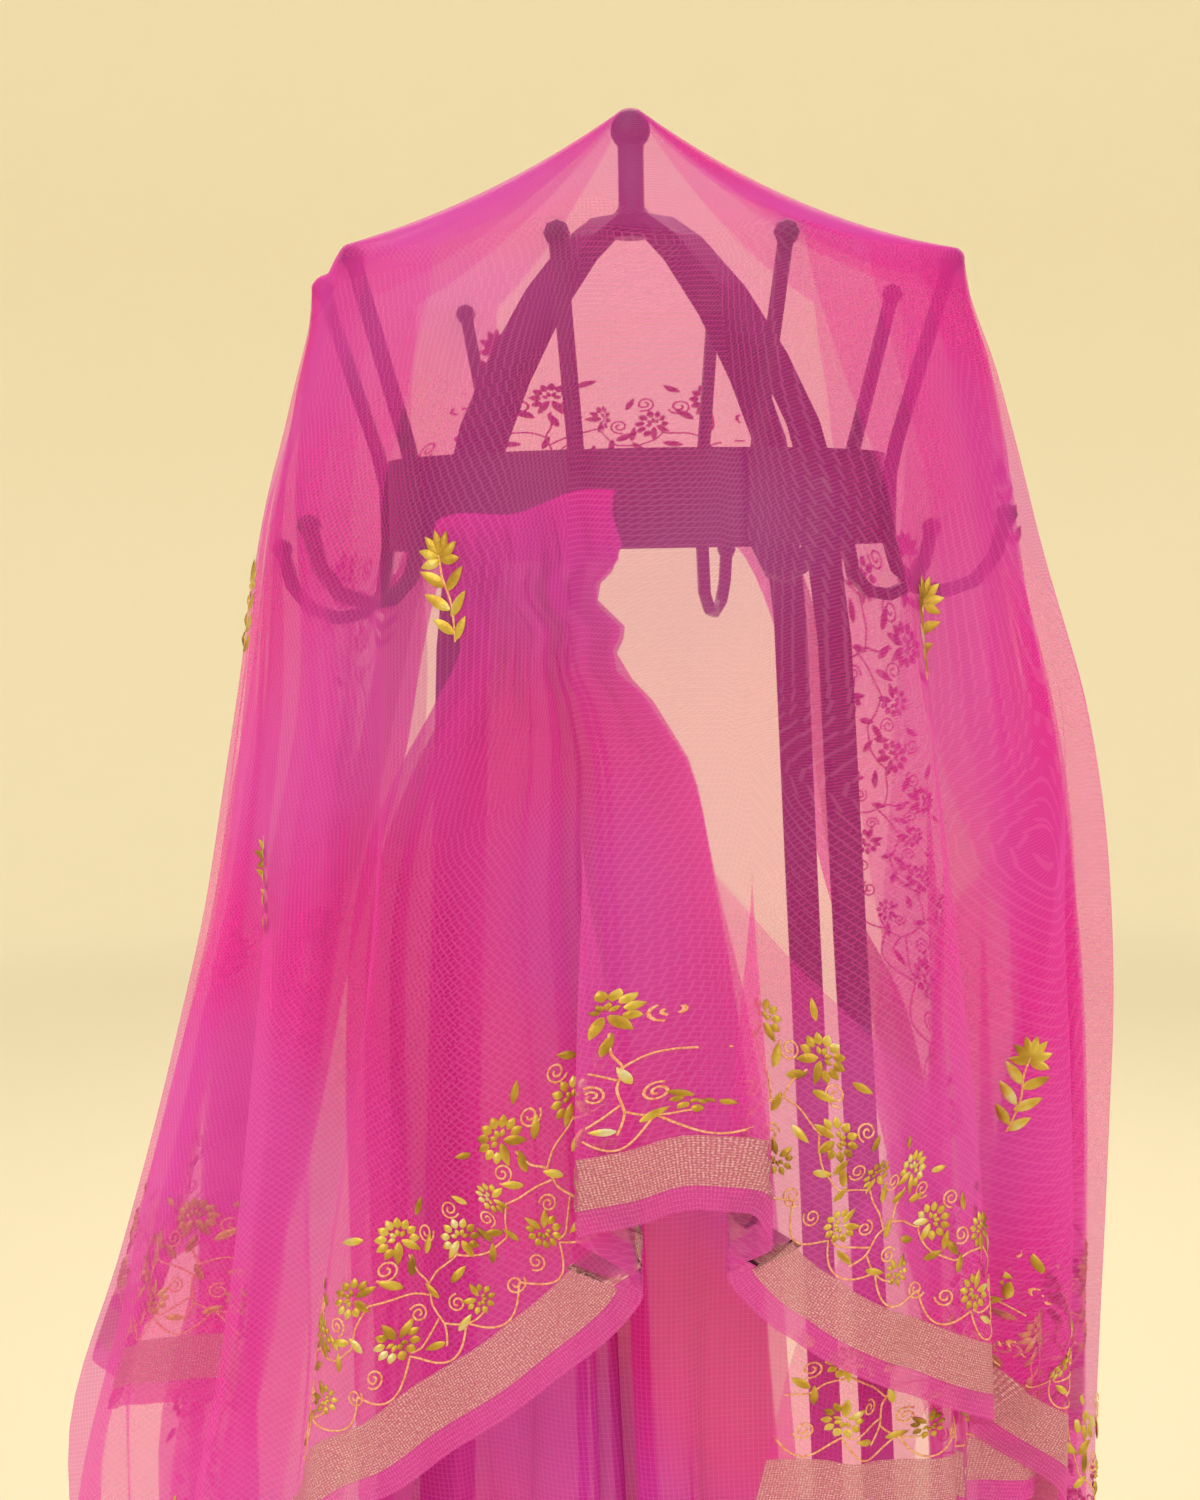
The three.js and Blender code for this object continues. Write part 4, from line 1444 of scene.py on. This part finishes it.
def ranged(tree: Tree, value: object, *limits: float) -> Socket:
    """Map a value smoothly from one range onto another: from low, from high, to low, to high."""
    names = ("From Min", "From Max", "To Min", "To Max")
    sockets = {"Value": value, **dict(zip(names, limits))}
    return node(tree, "ShaderNodeMapRange", sockets, interpolation_type="SMOOTHSTEP").outputs["Result"]


def lines(tree: Tree, at: object, pitch: float, width: float) -> Socket:
    """Draw soft lines across a coordinate: 1 on a line and 0 between.

    Args:
        tree: The material's node tree.
        at: The coordinate's output, in metres.
        pitch: Distance between lines in millimetres.
        width: A line's width in millimetres.

    Returns:
        The pattern's output.
    """
    turns = math_out(tree, "FRACT", math_out(tree, "MULTIPLY", at, 1.0 / (pitch * MM)))
    off = math_out(tree, "ABSOLUTE", math_out(tree, "SUBTRACT", turns, 0.5))
    half = 0.5 * width / pitch
    return ranged(tree, off, half * 0.55, half * 1.45, 1.0, 0.0)


def noise(tree: Tree, at: object, scale: float, detail: float) -> Socket:
    """Give a noise's value at a place."""
    sockets = {"Vector": at, "Scale": scale, "Detail": detail}
    return node(tree, "ShaderNodeTexNoise", sockets).outputs["Fac"]


def object_place(tree: Tree) -> Socket:
    """Give the place in Object coordinates."""
    return node(tree, "ShaderNodeTexCoord").outputs["Object"]


def weave_place(tree: Tree) -> tuple:
    """Give the place in the weave's coordinates, whole and then as u and v."""
    uv = node(tree, "ShaderNodeUVMap", uv_map="weave").outputs["UV"]
    split = node(tree, "ShaderNodeSeparateXYZ", {"Vector": uv})
    return uv, split.outputs["X"], split.outputs["Y"]


def bumped(tree: Tree, height: object, strength: float, distance: float, sockets: dict) -> Socket:
    """Give a Principled shader with a bumped surface.

    Args:
        tree: The material's node tree.
        height: The bump's output.
        strength: The bump's strength.
        distance: Its height in metres.
        sockets: The shader's other inputs.

    Returns:
        The shader's output.
    """
    bump = node(tree, "ShaderNodeBump", {"Height": height, "Strength": strength, "Distance": distance})
    sockets = {**sockets, "Normal": bump.outputs["Normal"]}
    return node(tree, "ShaderNodeBsdfPrincipled", sockets).outputs[0]


def sheer(tree: Tree, solid: Socket, tint: Socket, glow: float, cover: Socket) -> Socket:
    """Let light through a cloth's threads, and past them.

    Args:
        tree: The material's node tree.
        solid: The shader of the threads' own surface.
        tint: Their colour.
        glow: The share of their light that comes through from behind.
        cover: The share of the cloth that they cover.

    Returns:
        The mixed shader's output.
    """
    through = node(tree, "ShaderNodeBsdfTranslucent", {"Color": tint})
    lit = node(tree, "ShaderNodeMixShader", {0: glow, 1: solid, 2: through.outputs[0]})
    clear = node(tree, "ShaderNodeBsdfTransparent")
    sockets = {0: cover, 1: clear.outputs[0], 2: lit.outputs[0]}
    return node(tree, "ShaderNodeMixShader", sockets).outputs[0]


def ramp(tree: Tree, factor: object, stops: tuple) -> Socket:
    """Colour a factor by stops of place and hex colour."""
    made = node(tree, "ShaderNodeValToRGB", {"Fac": factor})
    elements = made.color_ramp.elements
    while len(elements) < len(stops):
        elements.new(0.5)
    for element, (place, code) in zip(elements, stops):
        element.position = place
        element.color = linear(code)
    return made.outputs["Color"]


def fresh(name: str) -> tuple[Material, Tree, bpy.types.Node]:
    """Start a material with nothing but its output."""
    material = bpy.data.materials.new(name)
    material.use_nodes = True
    tree = material.node_tree
    tree.nodes.clear()
    return material, tree, node(tree, "ShaderNodeOutputMaterial")


def dress(piece: Piece, *materials: Material) -> None:
    """Give a piece its materials through its slots."""
    piece.data.materials.clear()
    for material in materials:
        piece.data.materials.append(material)


@dataclass(frozen=True)
class CheckedMuslin:
    """Fine khat muslin, silk and cotton woven sheer with a heavier check, dyed pink.

    The threads let the background through, so that each further layer is deeper in colour; the heavier
    threads of the check draw a net of small squares. A purplish painted sheen is mixed into the pink in
    patches that a noise lays.

    Attributes:
        name: The material's name.
        pink: The ground's colour.
        painted_sheen: Its painted sheen, a purplish pink laid in a noise's patches rather than where light
            falls.
        net: The check's colour.
        check: The check's pitch in millimetres.
        thread: Width of its lines in millimetres.
        open_cover: The share of the ground that its threads cover.
        check_cover: The share that they cover in the check's lines.
        uneven: How far the cover wanders.
    """

    name: str = "checked_muslin"
    pink: str = "#FB46C6"
    # A purplish painted sheen, mixed into the ground in a noise's patches.
    painted_sheen: str = "#F466DA"
    net: str = "#FF9CE6"
    check: float = 2.6
    thread: float = 0.6
    open_cover: float = 0.39
    check_cover: float = 0.455
    uneven: float = 0.12

    def make(self) -> Material:
        """Build the material on the weave's own coordinates."""
        material, tree, out = fresh(self.name)
        _, u, v = weave_place(tree)
        wander = noise(tree, object_place(tree), 9.0, 0.0)
        check = math_out(tree, "MAXIMUM", *(lines(tree, at, self.check, self.thread) for at in (u, v)))
        cover = ranged(tree, check, 0.0, 1.0, self.open_cover, self.check_cover)
        uneven = math_out(tree, "MULTIPLY", math_out(tree, "SUBTRACT", wander, 0.5), self.uneven)
        cover = math_out(tree, "ADD", cover, uneven)
        # The ground runs from pink to the painted sheen by the noise, not by where light falls.
        ground = ramp(tree, wander, ((0.38, self.pink), (0.68, self.painted_sheen)))
        share = math_out(tree, "MULTIPLY", check, 0.5)
        mix = node(tree, "ShaderNodeMix", {0: share, 6: ground, 7: linear(self.net)}, data_type="RGBA")
        tint = mix.outputs[2]
        cloth = node(tree, "ShaderNodeBsdfDiffuse", {"Color": tint}).outputs[0]
        tree.links.new(sheer(tree, cloth, tint, 0.5, cover), out.inputs["Surface"])
        return material


# The same cloth where it is gathered over the hook and lies in many thicknesses, with its own painted
# sheen.
GATHERED_MUSLIN = CheckedMuslin(
    "gathered_muslin", "#F02AB0", "#E444CE", "#FA7CDA", open_cover=0.76, check_cover=0.82
)


class Border(Enum):
    """The two woven strips of the border."""

    EDGE = "selvedge_strip"
    BAND = "zari_band"


@dataclass(frozen=True)
class WovenStrip:
    """A closely woven strip, on the weave's coordinates, painted paler where its ribs meet the peaks of a
    fine grain: painted highlight.

    Attributes:
        kind: Which strip it is.
        stops: Its colours, as places on the ribs' painted highlight and hex colours; the paler stops are
            painted highlight.
        rib: Distance between its lengthwise ribs in millimetres.
        metallic: How far it is metal.
        roughness: Its roughness.
        glow: The share of light that comes through its threads.
        cover: The share of it that its threads cover, between ribs and on them.
    """

    kind: Border
    stops: tuple
    rib: float
    metallic: float
    roughness: float
    glow: float
    cover: tuple

    def make(self) -> Material:
        """Build the strip's material."""
        material, tree, out = fresh(self.kind.value)
        uv, u, v = weave_place(tree)
        ribs = math_out(tree, "ADD", lines(tree, u, 1.5, 0.8), lines(tree, v, self.rib, 0.55))
        grain = ranged(tree, noise(tree, uv, 1100.0, 1.0), 0.35, 0.7, 0.2, 1.0)
        # The ribs are the weave's own lines; the grain on them paints a sparkle, so the paler colours are
        # painted highlight.
        ribs_and_painted_glint = math_out(tree, "MULTIPLY", math_out(tree, "MULTIPLY", ribs, 0.5), grain)
        tint = ramp(tree, ribs_and_painted_glint, self.stops)
        sockets = {"Base Color": tint, "Metallic": self.metallic, "Roughness": self.roughness}
        woven = bumped(tree, ribs, 0.5, 0.0004, sockets)
        cover = ranged(tree, ribs_and_painted_glint, 0.0, 0.5, *self.cover)
        tree.links.new(sheer(tree, woven, tint, self.glow, cover), out.inputs["Surface"])
        return material


# The plain selvedge, and the metal-thread band with its cross ribs, both painted paler on their ribs as
# painted highlight.
EDGE_STRIP = WovenStrip(
    Border.EDGE,
    ((0.05, "#F25CC8"), (0.6, "#FA8EDC")),
    rib=2.2,
    metallic=0.0,
    roughness=0.6,
    glow=0.45,
    cover=(0.52, 0.72),
)
BAND_STRIP = WovenStrip(
    Border.BAND,
    ((0.05, "#CE7A92"), (0.35, "#DE9CA8"), (0.75, "#F4DCDE")),
    rib=1.15,
    metallic=0.35,
    roughness=0.42,
    glow=0.22,
    cover=(0.74, 0.96),
)


@dataclass(frozen=True)
class Finish:
    """An opaque material on Object coordinates: one noise colours it and one roughens it.

    Attributes:
        name: The material's name.
        stops: Its colours, as places on the first noise and hex colours.
        cloud: That noise's scale and detail.
        grain: The second noise's scale and detail.
        bump: The bump's strength and its height in metres.
        metallic: How far it is metal.
        roughness: Its roughness at the first noise's low and high values.
        coat: The weight of its clear coat.
    """

    name: str
    stops: tuple
    cloud: tuple
    grain: tuple
    bump: tuple
    metallic: float
    roughness: tuple
    coat: float = 0.0

    def make(self) -> Material:
        """Build the material."""
        material, tree, out = fresh(self.name)
        place = object_place(tree)
        cloud = noise(tree, place, *self.cloud)
        sockets = {
            "Base Color": ramp(tree, cloud, self.stops),
            "Metallic": self.metallic,
            "Roughness": ranged(tree, cloud, 0.3, 0.7, *self.roughness),
            "Coat Weight": self.coat,
        }
        surface = bumped(tree, noise(tree, place, *self.grain), *self.bump, sockets)
        tree.links.new(surface, out.inputs["Surface"])
        return material


# Gilt and silver ribbon, woven with flat metal thread and folded: it glitters along its ridges.
# A noise runs its colour from a dark brownish gold, which is painted shade, to a pale silvery cream, which
# is partly silver and partly painted highlight.
GOTA_RIBBON_PAINTED_LIGHT = Finish(
    "gota_ribbon_painted_light",
    # Painted shade in the dark stops and painted highlight in the palest, laid at random from flake to
    # flake.
    ((0.3, "#8A6A26"), (0.45, "#B9963A"), (0.58, "#D2BC56"), (0.74, "#DCD6B4")),
    cloud=(55.0, 3.0),
    grain=(900.0, 1.0),
    bump=(0.6, 0.0004),
    metallic=0.75,
    roughness=(0.4, 0.4),
)
# Peach silk and gilt thread, laid in twisted cord.
STEM_THREAD = Finish(
    "stem_thread",
    ((0.35, "#D98A58"), (0.65, "#F2C39A")),
    cloud=(700.0, 1.0),
    grain=(700.0, 1.0),
    bump=(0.5, 0.0003),
    metallic=0.25,
    roughness=(0.45, 0.45),
)
# Mild steel bar with near-black satin paint, a little worn and dusty.
PAINTED_STEEL = Finish(
    "painted_steel",
    ((0.3, "#17151A"), (0.7, "#2B2830")),
    cloud=(30.0, 5.0),
    grain=(900.0, 2.0),
    bump=(0.3, 0.0003),
    metallic=0.0,
    roughness=(0.36, 0.52),
    coat=0.15,
)


@dataclass(frozen=True)
class Paper:
    """Warm cream seamless paper behind and under the stand, painted a little greyer on the floor as painted
    shade against the light that falls on it.
    """

    name: str = "cream_paper"
    tint: str = "#F4ECCF"
    # The floor's greyer tint is painted shade, to temper the light on the floor.
    floor: str = "#EDE5C9"

    def make(self) -> Material:
        """Build the paper's material."""
        material, tree, out = fresh(self.name)
        height = node(tree, "ShaderNodeSeparateXYZ", {"Vector": object_place(tree)}).outputs["Z"]
        # Painted shade: the tint greys from the wall's cream to the floor's in the lowest 15 cm.
        tint = ramp(tree, ranged(tree, height, 0.0, 0.15, 0.0, 1.0), ((0.0, self.floor), (1.0, self.tint)))
        paper = node(tree, "ShaderNodeBsdfPrincipled", {"Base Color": tint, "Roughness": 0.9})
        tree.links.new(paper.outputs[0], out.inputs["Surface"])
        return material


# Name, place, target, size, power and tint of each light.
LIGHTS = (
    ("key", (-2.6, -2.8, 3.2), (0, 0, 1.5), 2.6, 50, "#FFF6EC"),
    ("fill", (3.0, -2.2, 2.2), (0, 0, 1.3), 2.6, 28, "#FFF4F6"),
    ("back", (0.4, 3.6, 3.4), (0, 0, 1.5), 3.0, 36, "#FFF4E4"),
)
ROOM_TINT, ROOM_STRENGTH = "#FFF6E8", 1.12


@dataclass
class Studio:
    """The floor and backdrop in one bowl, the lights, and the camera. Its lengths are in metres.

    Attributes:
        centre: The stand's axis on the floor.
        floor_radius: Where the floor begins to curve up.
        bowl_radius: The wall's radius.
        bowl_height: The wall's height.
        eye_back: How far in front of the axis the camera stands.
        eye_height: Its height.
        pan: How far it is turned to its left, in degrees.
        dip: How far it looks down, in degrees.
        roll: How far it is rolled, in degrees.
        lens: Its focal length in millimetres on a 36 mm frame.
    """

    centre: Array
    floor_radius: float = 5.5
    bowl_radius: float = 8.5
    bowl_height: float = 6.0
    eye_back: float = 1.065
    eye_height: float = 1.608
    pan: float = 1.22
    dip: float = 6.54
    roll: float = -1.0
    lens: float = 45.0

    def backdrop(self) -> Piece:
        """Turn a profile round the axis: flat floor, quarter curve, then a wall."""
        t = np.linspace(0, 1, 16)
        flat = np.linspace(0.01, self.floor_radius, 8)
        bend = self.bowl_radius - self.floor_radius
        turn = t[1:] * np.pi / 2
        radius = np.concatenate([flat, self.floor_radius + bend * np.sin(turn), [self.bowl_radius]])
        height = np.concatenate([0 * flat, bend * (1 - np.cos(turn)), [self.bowl_height]])
        points = polar(radius[:, None], np.linspace(0, 360, 97), height[:, None])
        points[:, -1] = points[:, 0]
        flipped = points[::-1] / MM
        uv = face_corners(np.zeros((*flipped.shape[:2], 2)))
        bowl = joined_sheets("backdrop", [GridSheet(flipped, uv)], self.centre)
        dress(bowl, Paper().make())
        return bowl

    def light(self, name: str, place: tuple, target: tuple, size: float, power: float, tint: str) -> None:
        """Add one square soft light that faces a target.

        Args:
            name: The light's name.
            place: Its place about the axis.
            target: The point that it faces.
            size: Its side.
            power: Its power in watts.
            tint: Its hex colour.
        """
        data = bpy.data.lights.new(name, "AREA")
        data.size, data.energy = size, power
        data.color = linear(tint)[:3]
        lamp = bpy.data.objects.new(name, data)
        axis = Vector(self.centre)
        start = Vector(place) + axis
        aim = Vector(target) + axis - start
        lamp.matrix_world = Matrix.Translation(start) @ aim.to_track_quat("-Z", "Y").to_matrix().to_4x4()
        bpy.context.scene.collection.objects.link(lamp)

    def lights(self) -> None:
        """Light the room evenly, with a soft key from the front left and a glow from behind."""
        for row in LIGHTS:
            self.light(*row)
        world = bpy.data.worlds.new("room")
        world.use_nodes = True
        sockets = world.node_tree.nodes["Background"].inputs
        sockets["Color"].default_value = linear(ROOM_TINT)
        sockets["Strength"].default_value = ROOM_STRENGTH
        bpy.context.scene.world = world

    def camera(self) -> None:
        """Stand just above shoulder height close in front, looking a little down at the tent's hem."""
        data = bpy.data.cameras.new("camera")
        data.lens, data.sensor_width, data.sensor_fit = self.lens, 36.0, "AUTO"
        data.clip_end = 60.0
        eye = Vector((self.centre[0], self.centre[1] - self.eye_back, self.eye_height))
        pan = Matrix.Rotation(math.radians(self.pan), 4, "Z")
        tilt = Matrix.Rotation(math.radians(90 - self.dip), 4, "X")
        roll = Matrix.Rotation(math.radians(self.roll), 4, "Z")
        shot = bpy.data.objects.new("camera", data)
        shot.matrix_world = Matrix.Translation(eye) @ pan @ tilt @ roll
        bpy.context.scene.collection.objects.link(shot)
        bpy.context.scene.camera = shot


def add_saree(centre: Array) -> None:
    """Build the cloth with its border and ribbon work, and hang them on the stand."""
    tent = Tent().sheet()
    falls = [fall.sheet() for fall in FALLS]
    layers = [layer.sheet() for layer in SIDE_LAYERS]
    borders = [sheet_table(sheet.points) for layer, sheet in zip(SIDE_LAYERS, layers) if layer.border]
    borders.append(sheet_table(falls[0].points))
    sling = Sling().sheet(falls[0].points[:, -1])
    cloth = joined_sheets("saree_cloth", [*falls, tent, sling, *layers], centre)
    dress(cloth, CheckedMuslin().make(), GATHERED_MUSLIN.make())
    slots = np.zeros(len(cloth.data.polygons), np.int32)
    slots[: sum(fall.uv.shape[0] * fall.uv.shape[1] for fall in falls)] = 1
    cloth.data.polygons.foreach_set("material_index", slots)
    LOG.info("saree_cloth: %d faces", len(cloth.data.polygons))
    frame = HemFrame()
    hems = [frame.whole(), *borders]
    edge = strip(Border.EDGE.value, hems, (0.0, 11.8), 5, 0.35, centre)
    dress(edge, EDGE_STRIP.make())
    band = strip(Border.BAND.value, hems, (11.6, 35.0), 8, 0.5, centre)
    dress(band, BAND_STRIP.make())
    work = GotaWork(frame, borders)
    flowers = work.ribbon_work(centre)
    dress(flowers, GOTA_RIBBON_PAINTED_LIGHT.make())
    stems = work.thread_work(centre)
    dress(stems, STEM_THREAD.make())
    trims = [edge, band, flowers, stems]
    for piece in (cloth, *trims):
        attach(piece, BODY)
        LOG.info("%s: %d faces", piece.name, len(piece.data.polygons))
    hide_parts("saree")


def main() -> None:
    """Build everything on the frame, in order."""
    logging.basicConfig(level=logging.INFO, format="%(message)s")
    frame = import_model()
    low, high = (np.asarray(v, float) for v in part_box("stand_knob"))
    centre = np.array([(low[0] + high[0]) / 2, (low[1] + high[1]) / 2, 0.0])
    scene = bpy.context.scene
    scene.view_settings.view_transform = "Standard"
    scene.cycles.transparent_max_bounces = 16
    scene.cycles.max_bounces = 4
    scene.cycles.diffuse_bounces = 2
    studio = Studio(centre)
    studio.camera()
    studio.backdrop()
    studio.lights()
    add_saree(centre)
    paint = PAINTED_STEEL.make()
    for name, piece in frame["nodes"].items():
        if name.startswith("stand_"):
            for slot in piece.material_slots:
                slot.material = paint


if __name__ == "__main__":
    main()
